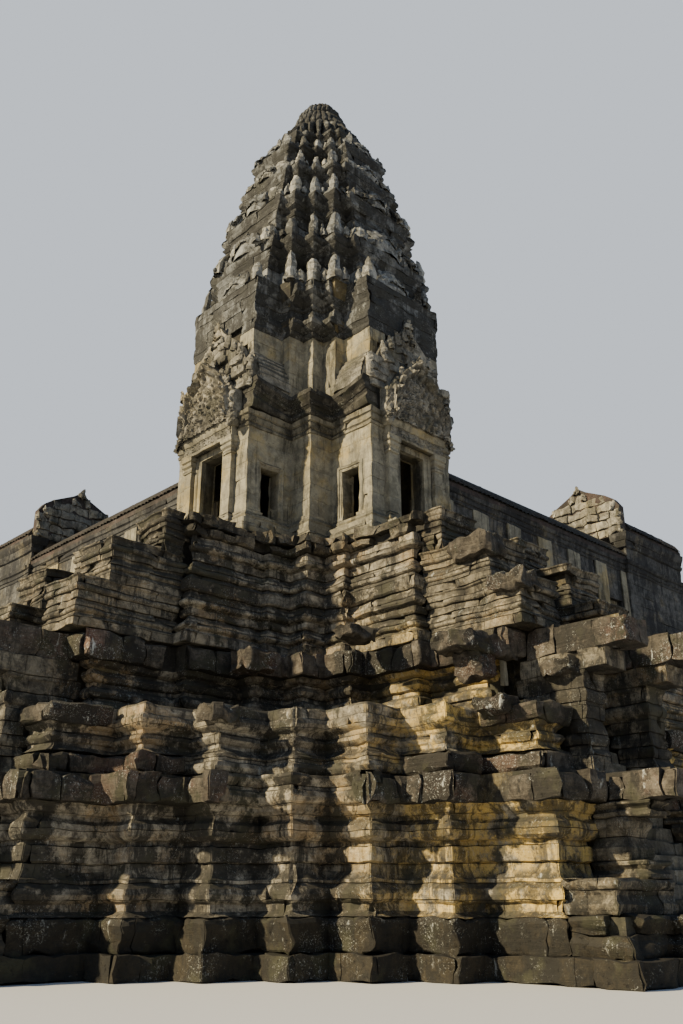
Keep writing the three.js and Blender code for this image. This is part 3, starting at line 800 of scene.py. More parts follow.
def pediment(stones, name, front, foot, rng, size=0.32, relief=0.12, flames=0.27, step=0.05):
    """Foliage carved over a gable, a worn rim of overlapping flames and serpents' hoods."""
    xs, zs = rim_line(name, -front)
    half = xs[-1] - 0.13
    inner = (xs > -half + 0.05) & (xs < half - 0.05)
    xs, zs = [-half, *xs[inner], half], np.array([zs[0], *zs[inner], zs[-1]])
    across = np.linspace(-half, half, int(2 * half / step))
    rim = np.interp(across, xs, zs)
    part = np.linspace(0, 1, int((zs.max() - foot) / step))[:, None]
    up = foot + part * (rim - foot)
    flat_across = np.broadcast_to(across, up.shape)
    below = (rim - up) / np.hypot(1, np.gradient(rim, across))
    band = np.clip((0.3 - below) / 0.08, 0, 1)
    spots = np.stack([flat_across, np.full(up.shape, front), up], -1).reshape(-1, 3)
    spots[:, 0] += len(name)
    ruin = noise(spots, 0.9, 71).reshape(up.shape)
    lumps = noise(spots, 0.22, 72).reshape(up.shape)
    whole = np.clip(1.0 - 0.8 * ruin, 0.1, 1.0)
    carved = scrolls(flat_across, up - foot, size) * relief * (1 - band) * whole
    carved += 0.05 * np.clip(lumps, -1, 1)
    waves = 0.05 * np.cos(up * 22 + np.abs(flat_across) * 16) + 0.05 * lumps
    out = 0.05 + carved + band * (0.13 + waves)
    points = np.stack([flat_across, -(front + out), up], -1)
    roof = points[-1:].copy()
    roof[..., 1] = -front + 0.4
    # Painted shade with grime in the carving's hollows, less in the rim's band; the strip that
    # runs back to the roof gets 0.3
    painted_hollow_shade = np.clip(0.7 - carved / relief * 1.5, 0, 0.7) * (1 - 0.8 * band)
    worn = np.concatenate([painted_hollow_shade, np.full(painted_hollow_shade[-1:].shape, 0.3)])
    sheet(stones, np.concatenate([points, roof]), 0.2, worn.ravel())
    along = np.cumsum(np.concatenate([[0], np.hypot(np.diff(across), np.diff(rim))]))
    slopes = np.gradient(rim, across)
    place = 0.2
    while place < along[-1] - 0.15:
        x, z = np.interp(place, along, across), np.interp(place, along, rim)
        slope = np.interp(place, along, slopes)
        wide = rng.uniform(0.24, 0.42)
        if rng.random() > 0.2:
            up_way = np.array([-slope * rng.uniform(0.2, 0.5), 0, 1.0])
            leaf(stones, (x, -front - 0.02, z - 0.14), up_way, SOUTH, wide,
                 flames * rng.uniform(0.75, 1.35), 0.11, rng, tone=(-0.6, 1.2))
        place += wide * rng.uniform(0.5, 0.75)
    for way in (-1, 1):
        for number in range(5):
            turn = math.radians(-10 + 20 * number)
            top = zs[0] - 0.2
            leaf(stones, (way * (half - 0.12 + 0.04 * number), -front - 0.06, top - 0.1 * number),
                 (way * math.sin(turn), 0, math.cos(turn)), SOUTH, 0.26,
                 0.4 * rng.uniform(0.7, 1.1), 0.12, rng, tone=(-0.6, 1.2))


def ruined_gable(stones, name, front, foot, rng, course=0.3, longest=0.75):
    """Courses of rough blocks over a gable, with stumps of leaves where its rim was."""
    xs, zs = rim_line(name, -front)
    middle = (foot + zs.max()) / 2
    for z in np.arange(foot, zs.max() - 0.1, course):
        wide = np.abs(xs[zs > z + 0.6 * course])
        if len(wide) == 0:
            continue
        half = wide.max()
        left = -half
        while left < half - 0.15:
            right = min(left + rng.uniform(0.4, 1.0) * longest, half)
            out = front + rng.uniform(-0.02, 0.15)
            if z < middle or rng.random() > 0.15:
                block(stones, (left + 0.01, -out, z + 0.01), (right - 0.01, -front + 0.35,
                      z + course * rng.uniform(0.85, 1.0)), rng, bevel=0.035, spacing=0.3,
                      rough=0.03, lean=0.035, tone=rng.uniform(-0.3, 1.7))
            left = right
        for way in (-1, 1):
            if rng.random() < 0.75:
                leaf(stones, (way * (half - 0.1), -front - 0.03, z), (0.3 * way, 0, 1), SOUTH,
                     0.32, rng.uniform(0.35, 0.6), 0.14, rng, tone=(-0.8, 1.0))


# Materials

class Nodes:
    """Short names for the nodes of one material or world."""

    def __init__(self, owner):
        owner.use_nodes = True
        self.tree = owner.node_tree
        self.shader = self.tree.nodes.get("Principled BSDF")

    def fill(self, node, inputs):
        """Links each input of a node to a socket, or sets its value."""
        for key, value in inputs.items():
            if isinstance(value, bpy.types.NodeSocket):
                self.tree.links.new(value, node.inputs[key])
            else:
                node.inputs[key].default_value = value
        return node

    def new(self, kind, inputs, **settings):
        node = self.tree.nodes.new(kind)
        for key, value in settings.items():
            setattr(node, key, value)
        return self.fill(node, inputs)

    def place(self, scale):
        """The point being shaded, with each axis scaled on its own."""
        point = self.new("ShaderNodeTexCoord", {}).outputs["Object"]
        return self.new("ShaderNodeMapping", {"Scale": scale, "Vector": point}).outputs["Vector"]

    def noise(self, scale, detail=5.0, rough=0.6, stretch=(1, 1, 1), warp=0.0):
        return self.new("ShaderNodeTexNoise", {
            "Scale": scale, "Detail": detail, "Roughness": rough, "Distortion": warp,
            "Vector": self.place(stretch)}).outputs["Fac"]

    def cells(self, scale):
        inputs = {"Scale": scale, "Vector": self.place((1, 1, 1))}
        return self.new("ShaderNodeTexVoronoi", inputs, feature="F1").outputs["Distance"]

    def ramp(self, value, low, high):
        """0 below low, 1 above high, smooth between."""
        inputs = {"Value": value, "From Min": low, "From Max": high}
        smooth = self.new("ShaderNodeMapRange", inputs, interpolation_type="SMOOTHSTEP")
        return smooth.outputs["Result"]

    def sum(self, kind, a, b):
        clamp = kind == "ADD"
        return self.new("ShaderNodeMath", {0: a, 1: b}, operation=kind, use_clamp=clamp).outputs[0]

    def times(self, a, b):
        return self.sum("MULTIPLY", a, b)

    def mix(self, share, a, b):
        inputs = {"Factor": share, 6: a, 7: b}
        return self.new("ShaderNodeMix", inputs, data_type="RGBA").outputs[2]

    def attribute(self, name):
        return self.new("ShaderNodeAttribute", {}, attribute_name=name).outputs["Fac"]

    def axes(self, kind, output):
        """The point being shaded or its normal, as separate sockets X, Y and Z."""
        vector = self.new(kind, {}).outputs[output]
        return self.new("ShaderNodeSeparateXYZ", {0: vector}).outputs


def colour(code):
    """A colour from its hexadecimal code."""
    parts = [int(code[i:i + 2], 16) / 255 for i in (0, 2, 4)]
    return (*[c / 12.92 if c < 0.04 else ((c + 0.055) / 1.055) ** 2.4 for c in parts], 1.0)


# Colours that every sandstone shares
# Golden yellow of bleached stone, made bright as painted sunlight
GOLDEN_AND_SUNLIT = "d2b467"
BLEACHED = "bdb9ab"
LEDGE_GRIME = "302e29"
MOSS = "4d4d38"
LICHEN = "b9bbb4"
PITS = "24221f"
# Near black for joint grime and for painted shade in joints, reveals and carved hollows
CREVICE_GRIME_AND_SHADE = "1d1b18"


def sandstone(name, light, dark, ochre="a3905f", ochre_share=0.3, soot=0.5, moss=0.25,
              specks=0.4, relief=0.03, streaks=0.5, crust="262522", beds=0.6, golden_and_sunlit=0.0):
    """Weathered sandstone: level beds, black lichen streaks, ochre stains and pale lichen.
    The golden and sunlit share is bleached yellow stone south of the corner, made bright there as
    a painted pool of sunlight."""
    material = bpy.data.materials.new(name)
    n = Nodes(material)
    patches = n.noise(0.45, 8, 0.7)
    mottle = n.noise(2.6, 10, 0.78, warp=0.4)
    grain = n.noise(14, 8, 0.8)
    layers = n.noise(2.4, 6, 0.62, stretch=(0.35, 0.35, 6.5), warp=0.25)
    tone = n.attribute("tone")
    grime_and_shade = n.attribute("grime_and_shade")
    face = n.mix(n.ramp(mottle, 0.36, 0.64), colour(dark), colour(light))
    face = n.mix(n.times(n.ramp(layers, 0.47, 0.66), 0.45 * beds), face, colour(dark))
    face = n.mix(n.times(n.ramp(patches, 0.5, 0.64), ochre_share), face, colour(ochre))
    # Painted sunlight on bleached stone: bright golden yellow on the south side of the corner,
    # fading out from 7.5 m to 10.5 m up
    if golden_and_sunlit:
        at = n.axes("ShaderNodeTexCoord", "Object")
        south = n.times(n.ramp(n.sum("SUBTRACT", at["X"], at["Y"]), 0.5, 5.5), golden_and_sunlit)
        south = n.times(south, n.ramp(at["Z"], 10.5, 7.5))
        bleached = n.times(south, n.ramp(n.noise(0.9, 11, 0.8), 0.43, 0.55))
        face = n.mix(bleached, face, colour(GOLDEN_AND_SUNLIT))
    face = n.mix(n.times(n.ramp(tone, 0.1, 1.0), 0.35), face, colour(dark))
    face = n.mix(n.times(n.ramp(tone, 0.0, -1.0), 0.6), face, colour(BLEACHED))
    runs = n.noise(2.0, 10, 0.78, stretch=(1, 1, 0.12), warp=0.25)
    black = n.times(n.ramp(runs, 0.49, 0.6), streaks)
    patchy = n.times(n.ramp(n.noise(0.55, 12, 0.76), 0.485, 0.55), soot)
    black = n.sum("ADD", black, patchy)
    # Less black where the painted sunlight lies
    if golden_and_sunlit:
        black = n.times(black, n.sum("SUBTRACT", 1.0, n.times(south, 0.15)))
    crusted = n.times(n.ramp(tone, 1.0, 2.0), n.ramp(n.noise(2.0, 7, 0.7), 0.3, 0.55))
    black = n.sum("ADD", black, crusted)
    face = n.mix(n.times(black, 0.9), face, colour(crust))
    upward = n.axes("ShaderNodeNewGeometry", "Normal")["Z"]
    top = n.times(n.ramp(upward, 0.15, 0.6), n.ramp(n.noise(1.9, 9, 0.78), 0.38, 0.52))
    face = n.mix(n.times(top, 0.85), face, colour(LEDGE_GRIME))
    green = n.times(n.ramp(n.noise(1.1, 6, 0.6), 0.52, 0.66), moss)
    face = n.mix(green, face, colour(MOSS))
    where = n.ramp(n.noise(0.9, 9, 0.76), 0.49, 0.58)
    spots = n.ramp(n.noise(7.0, 4, 0.62, warp=1.2), 0.6, 0.66)
    fine = n.ramp(n.noise(24.0, 4, 0.7, warp=0.8), 0.56, 0.64)
    pale = n.times(n.sum("MAXIMUM", n.times(spots, fine), n.times(fine, 0.45)), where)
    drips = n.times(n.ramp(n.noise(5.0, 5, 0.7, stretch=(1, 1, 0.22)), 0.6, 0.68), where)
    pale = n.sum("MAXIMUM", pale, n.times(drips, 0.6))
    face = n.mix(n.times(pale, specks), face, colour(LICHEN))
    face = n.mix(n.times(n.ramp(grain, 0.5, 0.66), 0.4), face, colour(dark))
    pits = n.ramp(n.noise(7.0, 7, 0.8), 0.41, 0.34)
    face = n.mix(n.times(pits, 0.55), face, colour(PITS))
    # Joint grime and painted shade: joints, stone rims, door and window reveals and carved hollows
    # go towards near black
    face = n.mix(n.times(grime_and_shade, 0.72), face, colour(CREVICE_GRIME_AND_SHADE))
    height = n.sum("ADD", n.times(mottle, 0.6), n.times(grain, 0.3))
    height = n.sum("SUBTRACT", height, n.times(pits, 0.25))
    height = n.sum("ADD", height, n.times(n.ramp(n.cells(5.0), 0.0, 0.5), 0.12))
    height = n.sum("ADD", height, n.times(layers, beds))
    bump = n.new("ShaderNodeBump", {"Strength": 0.9, "Distance": relief, "Height": height})
    rough = n.sum("ADD", n.times(grain, 0.18), 0.8)
    n.fill(n.shader, {"Base Color": face, "Roughness": rough, "Specular IOR Level": 0.25,
                      "Normal": bump.outputs["Normal"]})
    return material


BASE_STONE = sandstone("base_sandstone", "aca491", "4e4941", ochre="a88a5c", ochre_share=0.5,
                       soot=1.0, streaks=1.0, moss=0.25, specks=0.9, relief=0.07, beds=1.0,
                       golden_and_sunlit=0.9)
FLANK_STONE = sandstone("flank_sandstone", "938a76", "413d36", ochre="9c8258", ochre_share=0.4,
                        soot=0.9, streaks=0.9, moss=0.3, specks=0.8, relief=0.06, beds=0.9)
SLAB_STONE = sandstone("slab_sandstone", "7a7265", "3a352f", ochre="6b4c3f", ochre_share=0.6,
                       soot=0.75, streaks=0.6, moss=0.35, specks=1.6, relief=0.07, beds=0.7)
PLINTH_STONE = sandstone("plinth_sandstone", "403a2e", "24221e", ochre="54492f", soot=0.8,
                         moss=0.4, streaks=0.8, specks=1.1, beds=0.4, relief=0.06)
WALL_STONE = sandstone("wall_sandstone", "9c9681", "787365", ochre="a8935c", soot=0.35,
                       ochre_share=0.6, streaks=0.55, moss=0.1, specks=0.15, relief=0.012,
                       beds=0.2)
GALLERY_STONE = sandstone("gallery_sandstone", "63625f", "373736", soot=0.7, streaks=1.0,
                          moss=0.1, specks=0.4, relief=0.02, beds=0.3, crust="222224")
CROWN_STONE = sandstone("crown_sandstone", "989a99", "525352", soot=0.8, streaks=0.8,
                        moss=0.1, specks=0.8, ochre_share=0.12, beds=0.6, relief=0.05)
CORNICE_STONE = sandstone("cornice_sandstone", "7c786d", "3c3933", soot=0.7, streaks=0.7,
                          moss=0.3, specks=0.9, ochre_share=0.1, beds=0.6)
CARVED_STONE = sandstone("carved_sandstone", "a19c8e", "5f5c54", soot=0.5, streaks=0.5,
                         moss=0.25, specks=0.6, relief=0.05, ochre_share=0.3, beds=0.2)
ROOF_STONE = sandstone("roof_sandstone", "4d4440", "2c2826", ochre="5a4136", soot=0.7,
                       streaks=0.35, moss=0.15)
STEP_STONE = sandstone("step_sandstone", "7e7a6d", "474540", soot=0.6, streaks=0.4, moss=0.3)
# Dark stone of the cores behind the stones: painted shade where they show in joints and gaps
SHADED_CORE_STONE = sandstone("shaded_core_sandstone", "45423b", "2b2926", soot=0.5, streaks=0.4)


def keep(name, material):
    """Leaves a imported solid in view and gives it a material."""
    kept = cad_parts[name]
    kept.data.materials.clear()
    kept.data.materials.append(material)


# The base

BASE_LOOKS = Looks(edge=0.014, uneven=0.006, chipped=0.3, eaten=0.12, lost=0.002,
                   tone=(-0.2, 1.2), upright_joints=0.08, level_joints=0.45)
SLAB_LOOKS = Looks(edge=0.02, uneven=0.05, chipped=0.8, eaten=0.07, lost=0.05, lean=0.014,
                   tone=(0.2, 1.9), upright_joints=0.8, ragged=0.22, joint=0.03)
PLINTH_LOOKS = Looks(edge=0.014, uneven=0.008, chipped=0.4, eaten=0.04, tone=(0.3, 1.6),
                     upright_joints=0.3)
RUIN_LOOKS = Looks(edge=0.02, uneven=0.07, chipped=0.9, eaten=0.16, lost=0.1, lean=0.02,
                   tone=(0.3, 2.0), upright_joints=0.8, ragged=0.45, joint=0.03)
ROUGH = {"bumps": 0.03, "pits": 0.025}

# Heights in the base
LOWER_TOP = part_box("lower_tier_corner")[1].z
MIDDLE_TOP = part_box("middle_tier_corner")[1].z
UPPER_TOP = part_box("upper_tier_corner")[1].z
PLINTH_TOP = 0.54
CORNICE_FOOT = 3.8
LEDGE_SLAB = 5.0
LEDGE_HOLLOW = 5.66
LEDGE_TOP = 6.2
BLOCK_ROW = 7.55
UPPER_MIDDLE = 9.95
RUIN_FOOT = 11.6
UPPER_BAND = 11.7

# Heights where a part's plan is read
LOWER_PLAN = 0.3
LOWER_HEAD_PLAN = 4.2
LEDGE_PLAN = 4.8
WAIST_PLAN = 8.0
UPPER_PLAN = 9.92
FLOOR_PLAN = 12.4

# Mouldings from the plinth up: a sloped foot, a roll, a hollow, the middle roll, and a cyma out
LOWER_MOULDINGS = [
    (1.3, -0.25), (1.36, -0.4), (1.42, -0.47), (1.58, -0.47), (1.6, -0.42), (1.66, -0.34),
    (1.78, -0.3), (1.9, -0.34), (1.98, -0.43), (2.02, -0.47), (2.1, -0.47), (2.14, -0.52),
    (2.3, -0.6), (2.46, -0.63), (2.5, -0.63), (2.5, -0.54), (2.72, -0.53), (2.84, -0.54),
    (2.84, -0.62), (2.95, -0.63), (2.98, -0.5), (3.06, -0.4), (3.2, -0.36), (3.34, -0.4),
    (3.42, -0.5), (3.46, -0.52), (3.52, -0.52), (3.56, -0.46), (3.66, -0.38), (3.76, -0.36),
    (CORNICE_FOOT, -0.3)]
PLINTH_STAGE = [(PLINTH_TOP, -0.3), (0.6, -0.27), (0.8, -0.25), (1.0, -0.22), (1.16, -0.19),
                (1.24, -0.22), (1.28, -0.3), (1.3, -0.36)]
BARE_HEAD = [(CORNICE_FOOT, 0.0), (3.86, 0.06), (3.98, 0.1), (4.1, 0.06), (4.14, -0.02),
             (4.22, -0.04), (4.3, 0.02), (4.42, 0.08), (LOWER_TOP, 0.04)]
SLAB_HEAD = [(CORNICE_FOOT, -0.03), (3.9, 0.0), (4.3, 0.04), (LOWER_TOP, 0.0)]
LEDGE_STAGE = [
    (LOWER_TOP, -0.04), (4.56, 0.02), (4.66, 0.06), (4.76, 0.02), (4.8, -0.05), (4.88, -0.04),
    (4.94, 0.0), (LEDGE_SLAB, -0.06), (5.06, -0.16), (5.12, -0.22), (5.2, -0.22), (5.24, -0.16),
    (5.34, -0.1), (5.44, -0.15), (5.48, -0.22), (5.56, -0.2), (5.62, -0.1), (5.68, -0.04),
    (5.78, 0.0), (5.88, -0.04), (5.92, -0.12), (6.0, -0.1), (6.12, -0.1), (LEDGE_TOP, -0.16)]
WAIST_STAGE = [
    (LEDGE_TOP, -0.22), (6.42, -0.22), (6.5, -0.36), (6.56, -0.36), (6.6, -0.3), (6.7, -0.26),
    (6.8, -0.3), (6.84, -0.38), (6.9, -0.46), (7.0, -0.46), (7.05, -0.38), (7.16, -0.32),
    (7.27, -0.38), (7.3, -0.46), (7.36, -0.46), (7.42, -0.3), (BLOCK_ROW, -0.22)]
UPPER_STAGE = (temple_base(MIDDLE_TOP, UPPER_MIDDLE, 0.33, 0.0, 0.1)
               + temple_base(UPPER_MIDDLE, UPPER_BAND, 0.14, -0.12, 0.02)
               + [(UPPER_BAND, 0.12), (11.95, 0.17), (12.0, 0.1), (UPPER_TOP, 0.15)])
BLOCK_STAGE = [(BLOCK_ROW, 0.0), (7.62, 0.03), (8.2, 0.05), (MIDDLE_TOP, 0.0)]


def rough_ledge(reach):
    """A test that is true where a ledge has rough slabs: further out beside a stair than a reach,
    and on the side of each stair that is turned away from the tower's corner."""
    return lambda spot: max(spot) > STAIR_HALF or min(spot) < -reach


def opposite(test):
    return lambda spot: not test(spot)


def rough_piece(stones, name, material):
    stones.piece(name, material, "base_stone", weather=ROUGH)


def make_lower_tier(node, spacing):
    bare = lambda spot: inside(spot, outlines(node, LOWER_PLAN))
    plinth, stones, slabs = Stones(), Stones(), Stones()
    lay = partial(masonry, node, spacing=spacing, reference=LOWER_PLAN, length=1.3)
    lay(flat(PLINTH_TOP, 0.0), PLINTH_LOOKS, course=0.6, stones=plinth)
    lay(PLINTH_STAGE, PLINTH_LOOKS, course=0.8, length=1.6, stones=plinth)
    lay(LOWER_MOULDINGS, BASE_LOOKS, stones=stones)
    lay(BARE_HEAD, BASE_LOOKS, reference=LOWER_HEAD_PLAN, stones=stones, skip=opposite(bare))
    lay(SLAB_HEAD, SLAB_LOOKS, course=0.75, reference=LOWER_HEAD_PLAN, length=0.85,
        stones=slabs, skip=bare)
    rough_piece(slabs, f"{node}_slabs", SLAB_STONE)
    rough_piece(plinth, f"{node}_plinth", PLINTH_STONE)
    dress(node, stones, BASE_STONE, "base_stone")


def make_middle_tier(node, spacing):
    stones, slabs = Stones(), Stones()
    lay = partial(masonry, node, spacing=spacing, reference=LEDGE_PLAN, length=1.3)
    for seed, (foot, top, reach, course) in enumerate((
            (LOWER_TOP, LEDGE_SLAB, 8.6, 0.45), (LEDGE_HOLLOW, LEDGE_TOP, 10.0, 0.5))):
        rough = rough_ledge(reach)
        lay(between(LEDGE_STAGE, foot, top), BASE_LOOKS, stones=stones, seed=seed, skip=rough)
        lay([(foot, 0.0), (foot + 0.1, 0.08), (top - 0.06, 0.12), (top, 0.06)], SLAB_LOOKS,
            course=course, length=1.4, stones=slabs, seed=seed, skip=opposite(rough))
    lay(between(LEDGE_STAGE, LEDGE_SLAB, LEDGE_HOLLOW), BASE_LOOKS, stones=stones, seed=2)
    waist_looks = dataclasses.replace(BASE_LOOKS, lost=0.0, gone=LOST_STONES)
    lay(WAIST_STAGE, waist_looks, reference=WAIST_PLAN, length=1.1, stones=stones, seed=3)
    lay(BLOCK_STAGE, SLAB_LOOKS, course=0.8, reference=WAIST_PLAN, length=0.95, stones=slabs,
        seed=4)
    rough_piece(slabs, f"{node}_slabs", SLAB_STONE)
    dress(node, stones, BASE_STONE, "base_stone")


def make_upper_tier(node, spacing):
    lay = partial(masonry, node, reference=UPPER_PLAN, spacing=spacing)
    high = next(i for i, (z, _) in enumerate(UPPER_STAGE) if z >= RUIN_FOOT)
    stones = lay(UPPER_STAGE[:high + 1], BASE_LOOKS, length=1.3)
    ruins = lay(UPPER_STAGE[high:], RUIN_LOOKS, course=0.3, length=0.7, seed=1)
    rough_piece(ruins, f"{node}_broken_top", FLANK_STONE)
    dress(node, stones, BASE_STONE, "base_stone")


def make_base():
    for part, spacing in (("corner", 0.27), ("east_wing", 1.0), ("north_wing", 1.0)):
        make_lower_tier(f"lower_tier_{part}", spacing)
        make_middle_tier(f"middle_tier_{part}", spacing)
        make_upper_tier(f"upper_tier_{part}", spacing)


# The stairs and their side walls

STEPS = 39
STEP_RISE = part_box("tower_plinth")[1].z / STEPS
STEP_RUN = 0.22
STEP_DEPTH = 0.55
STEP_GAP = 0.004
STAIR_HEAD = 5.8
STAIR_HALF = 1.0
PLINTH_HEAD = 1.35
MIDDLE_SLABS = 7.5
TALL_COURSE = 1.2
FLANK_HEIGHTS = [0.0, PLINTH_TOP, PLINTH_HEAD, 2.1, 2.5, 3.45, CORNICE_FOOT, LOWER_TOP, 7.0,
                 MIDDLE_SLABS, MIDDLE_TOP, 9.7, 11.0, UPPER_TOP]
FLANK_LOOKS = Looks(edge=0.014, uneven=0.014, chipped=0.5, eaten=0.1, lost=0.01,
                    tone=(-0.2, 1.3), upright_joints=0.3)


def flank_profile(foot, top):
    """Mouldings in the tall courses of a side wall, and a plain face in the others."""
    tall = top - foot
    if foot >= 7.0 and tall < TALL_COURSE or foot == CORNICE_FOOT or top == PLINTH_TOP:
        return [(foot, 0.0), (top, 0.0)]
    if tall < TALL_COURSE:
        return [(foot + part * tall, out) for part, out in (
            (0.0, -0.02), (0.12, 0.02), (0.3, 0.02), (0.42, -0.06), (0.55, -0.1), (0.68, -0.05),
            (0.78, 0.02), (0.9, 0.04), (1.0, 0.0))]
    return [(z, out * 0.5) for z, out in temple_base(foot, top, 0.0, -0.22, 0.0)]


def make_side_wall(node):
    stones, slabs, plinth = Stones(), Stones(), Stones()
    for seed, (foot, top) in enumerate(zip(FLANK_HEIGHTS, FLANK_HEIGHTS[1:])):
        lay = partial(masonry, node, flank_profile(foot, top), reference=(foot + top) / 2,
                      length=1.1, spacing=0.38, seed=seed)
        if foot in (CORNICE_FOOT, MIDDLE_SLABS):
            lay(SLAB_LOOKS, course=0.8, stones=slabs)
        else:
            lay(FLANK_LOOKS, course=0.42, stones=plinth if foot < PLINTH_HEAD else stones)
    rough_piece(slabs, f"{node}_slabs", SLAB_STONE)
    rough_piece(plinth, f"{node}_plinth", PLINTH_STONE)
    dress(node, stones, FLANK_STONE, "base_stone")


def make_steps():
    for way in ("south", "west"):
        rng = np.random.default_rng(len(way))
        stones = Stones()
        stones.turn = TURNS[way]
        for step in range(STEPS):
            front = -(STAIR_HEAD + (STEPS - step) * STEP_RUN)
            cuts = [-STAIR_HALF, rng.uniform(-0.5, -0.1), rng.uniform(0.2, 0.6), STAIR_HALF]
            for left, right in zip(cuts, cuts[1:]):
                back = min(front + STEP_DEPTH, -STAIR_HEAD)
                low = (left + STEP_GAP, front + rng.uniform(0, 0.03), step * STEP_RISE + STEP_GAP)
                high = (right - STEP_GAP, back, (step + 1) * STEP_RISE)
                block(stones, low, high, rng, bevel=0.03, spacing=0.7, rough=0.012)
        stones.piece(f"stair_{way}_steps", STEP_STONE, "step_stone",
                     [f"stair_{way}_lower_flight", f"stair_{way}_upper_flight"])


# Loose stones, each with its lowest and highest corner

LOST_STONES = [((-3.3, -10.5, 6.75), (-2.1, -9.4, 7.5))]
PROP = ((-2.66, -10.22, 6.82), (-2.52, -10.08, 7.54))
LOOSE_SLABS = [
    ((-4.35, -10.42, 7.5), (-2.3, -9.2, 7.98)), ((-3.75, -10.3, 6.85), (-3.05, -9.5, 7.5)),
    ((-3.0, -10.1, 10.4), (-2.1, -8.8, 10.98)), ((-2.98, -11.15, 9.25), (-2.15, -10.1, 9.72)),
    ((-2.25, -11.9, 6.9), (-1.4, -10.9, 7.3)), ((-3.9, -11.0, 5.9), (-2.7, -10.1, 6.28)),
    ((-5.05, -7.0, 8.28), (-3.95, -6.3, 8.62)), ((-6.6, -4.7, 7.55), (-5.7, -3.8, 8.05)),
    ((-8.75, -6.1, 5.72), (-7.9, -5.3, 6.12)),
]


def make_loose_stones():
    rng = np.random.default_rng(17)
    slabs, prop = Stones(), Stones()
    for low, high in LOOSE_SLABS:
        block(slabs, low, high, rng, bevel=0.04, spacing=0.15, rough=0.05, lean=0.03, tone=1.4)
    rough_piece(slabs, "loose_slabs", SLAB_STONE)
    block(prop, *PROP, rng, bevel=0.01, rough=0.004)
    prop.piece("prop_pillar", WALL_STONE, "base_stone")


# The tower's walls

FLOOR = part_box("tower_plinth")[1].z
WALL_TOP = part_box("main_cornice")[0].z
CORNICE_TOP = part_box("main_cornice")[1].z
ARM_HALF = 2.0
ARM_REACH = 4.9
BODY = 3.01
TOWER_WALL = 0.6
WALL_DEPTH = 0.12
WALL_INSET = 0.08
FLOOR_INSET = 0.2
WALL_LOOKS = Looks(edge=0.003, uneven=0.002, chipped=0.04, eaten=0.008, tone=(0, 0.4),
                   level_joints=0.25, upright_joints=0.1)
TRIM_LOOKS = Looks(edge=0.012, uneven=0.012, chipped=0.35, eaten=0.05, lost=0.01)
CORNICE_LOOKS = Looks(edge=0.01, uneven=0.006, chipped=0.2, eaten=0.04, tone=(1.5, 2.0),
                      level_joints=0.6, upright_joints=0.2)
HEAD_LOOKS = Looks(edge=0.008, uneven=0.004, chipped=0.15, eaten=0.03, tone=(0.9, 1.7),
                   level_joints=0.5, upright_joints=0.1)
DOOR_HALF = 0.6
DOOR_LEVELS = (FLOOR, FLOOR + 3.0)
WINDOW_AT = 3.9
WINDOW_HALF = 0.4
WINDOW_LEVELS = (FLOOR + 0.35, FLOOR + 2.15)
BAY_WINDOW_LEVELS = (FLOOR + 0.55, FLOOR + 2.05)
SLACK = 0.04


def in_chamber(spot):
    x, y = np.abs(spot)
    half, reach = ARM_HALF - TOWER_WALL + SLACK, ARM_REACH + SLACK
    return (x < half and y < reach) or (y < half and x < reach)


WALL_FOOT = [(0.0, 0.13), (0.16, 0.13), (0.18, 0.08), (0.24, 0.12), (0.32, 0.08), (0.4, 0.05),
             (0.46, 0.06), (0.5, 0.0)]
WALL_HEAD = [(-0.6, 0.04), (-0.52, 0.06), (-0.44, 0.02), (-0.4, 0.07), (-0.24, 0.1), (-0.2, 0.06),
             (-0.16, 0.12), (0.0, 0.16)]
HEAD_HEIGHT = 0.6
FLOOR_STAGE = [(UPPER_TOP, 0.0), (12.46, 0.02), (12.5, -0.02), (12.56, -0.1), (12.64, -0.06),
               (12.72, -0.04), (12.8, -0.08), (12.84, -0.12), (FLOOR, -0.1)]
CORNICE = [(0.0, 0.14), (0.06, 0.2), (0.14, 0.22), (0.2, 0.14), (0.27, 0.14), (0.36, 0.22),
           (0.46, 0.3), (0.52, 0.24), (0.6, 0.3), (0.68, 0.38), (0.78, 0.38), (0.9, 0.34)]


def cornice_rise(points):
    """Cornices climb from the inner corners of the tower towards the fronts of its arms."""
    reach = np.maximum(np.abs(points[:, 0]), np.abs(points[:, 1]))
    share = np.clip((reach - BODY) / (ARM_REACH - BODY), 0, 1.15)
    high = np.clip((points[:, 2] - WALL_TOP + 0.1) / 0.3, 0, 1)
    moved = points.copy()
    moved[:, 2] += 0.32 * share ** 2 * high
    return moved


WINDOW = [(-0.005, -0.45), (-0.005, -0.03), (0.03, -0.01), (0.04, 0.02), (0.09, 0.02),
          (0.1, 0.05), (0.15, 0.07), (0.19, 0.04), (0.22, -0.02)]
DOOR = [(-0.01, -0.5), (-0.01, -0.16), (0.05, -0.15), (0.06, -0.1), (0.12, -0.1), (0.13, -0.03),
        (0.18, -0.03), (0.2, 0.03), (0.24, 0.06), (0.29, 0.06), (0.31, 0.0), (0.36, -0.04)]


def make_floor(node, spacing):
    """The moulded plinth under the tower or a gallery."""
    stones = masonry(node, FLOOR_STAGE, TRIM_LOOKS, reference=FLOOR_PLAN, spacing=spacing)
    dress(node, stones, WALL_STONE, "wall_stone", FLOOR_INSET)


def lay_wall(node, top, breaks, **settings):
    """A wall from the floor up: a moulded foot, a plain face and a dark moulded head."""
    lay = partial(masonry, node, length=1.3, depth=WALL_DEPTH, **settings)
    face = raised(WALL_FOOT, FLOOR) + [(top - 0.62, 0.0), (top - HEAD_HEIGHT, 0.04)]
    stones = lay(face, WALL_LOOKS, course=0.5, breaks=breaks)
    return lay(raised(WALL_HEAD, top), HEAD_LOOKS, course=0.35, stones=stones, seed=1)


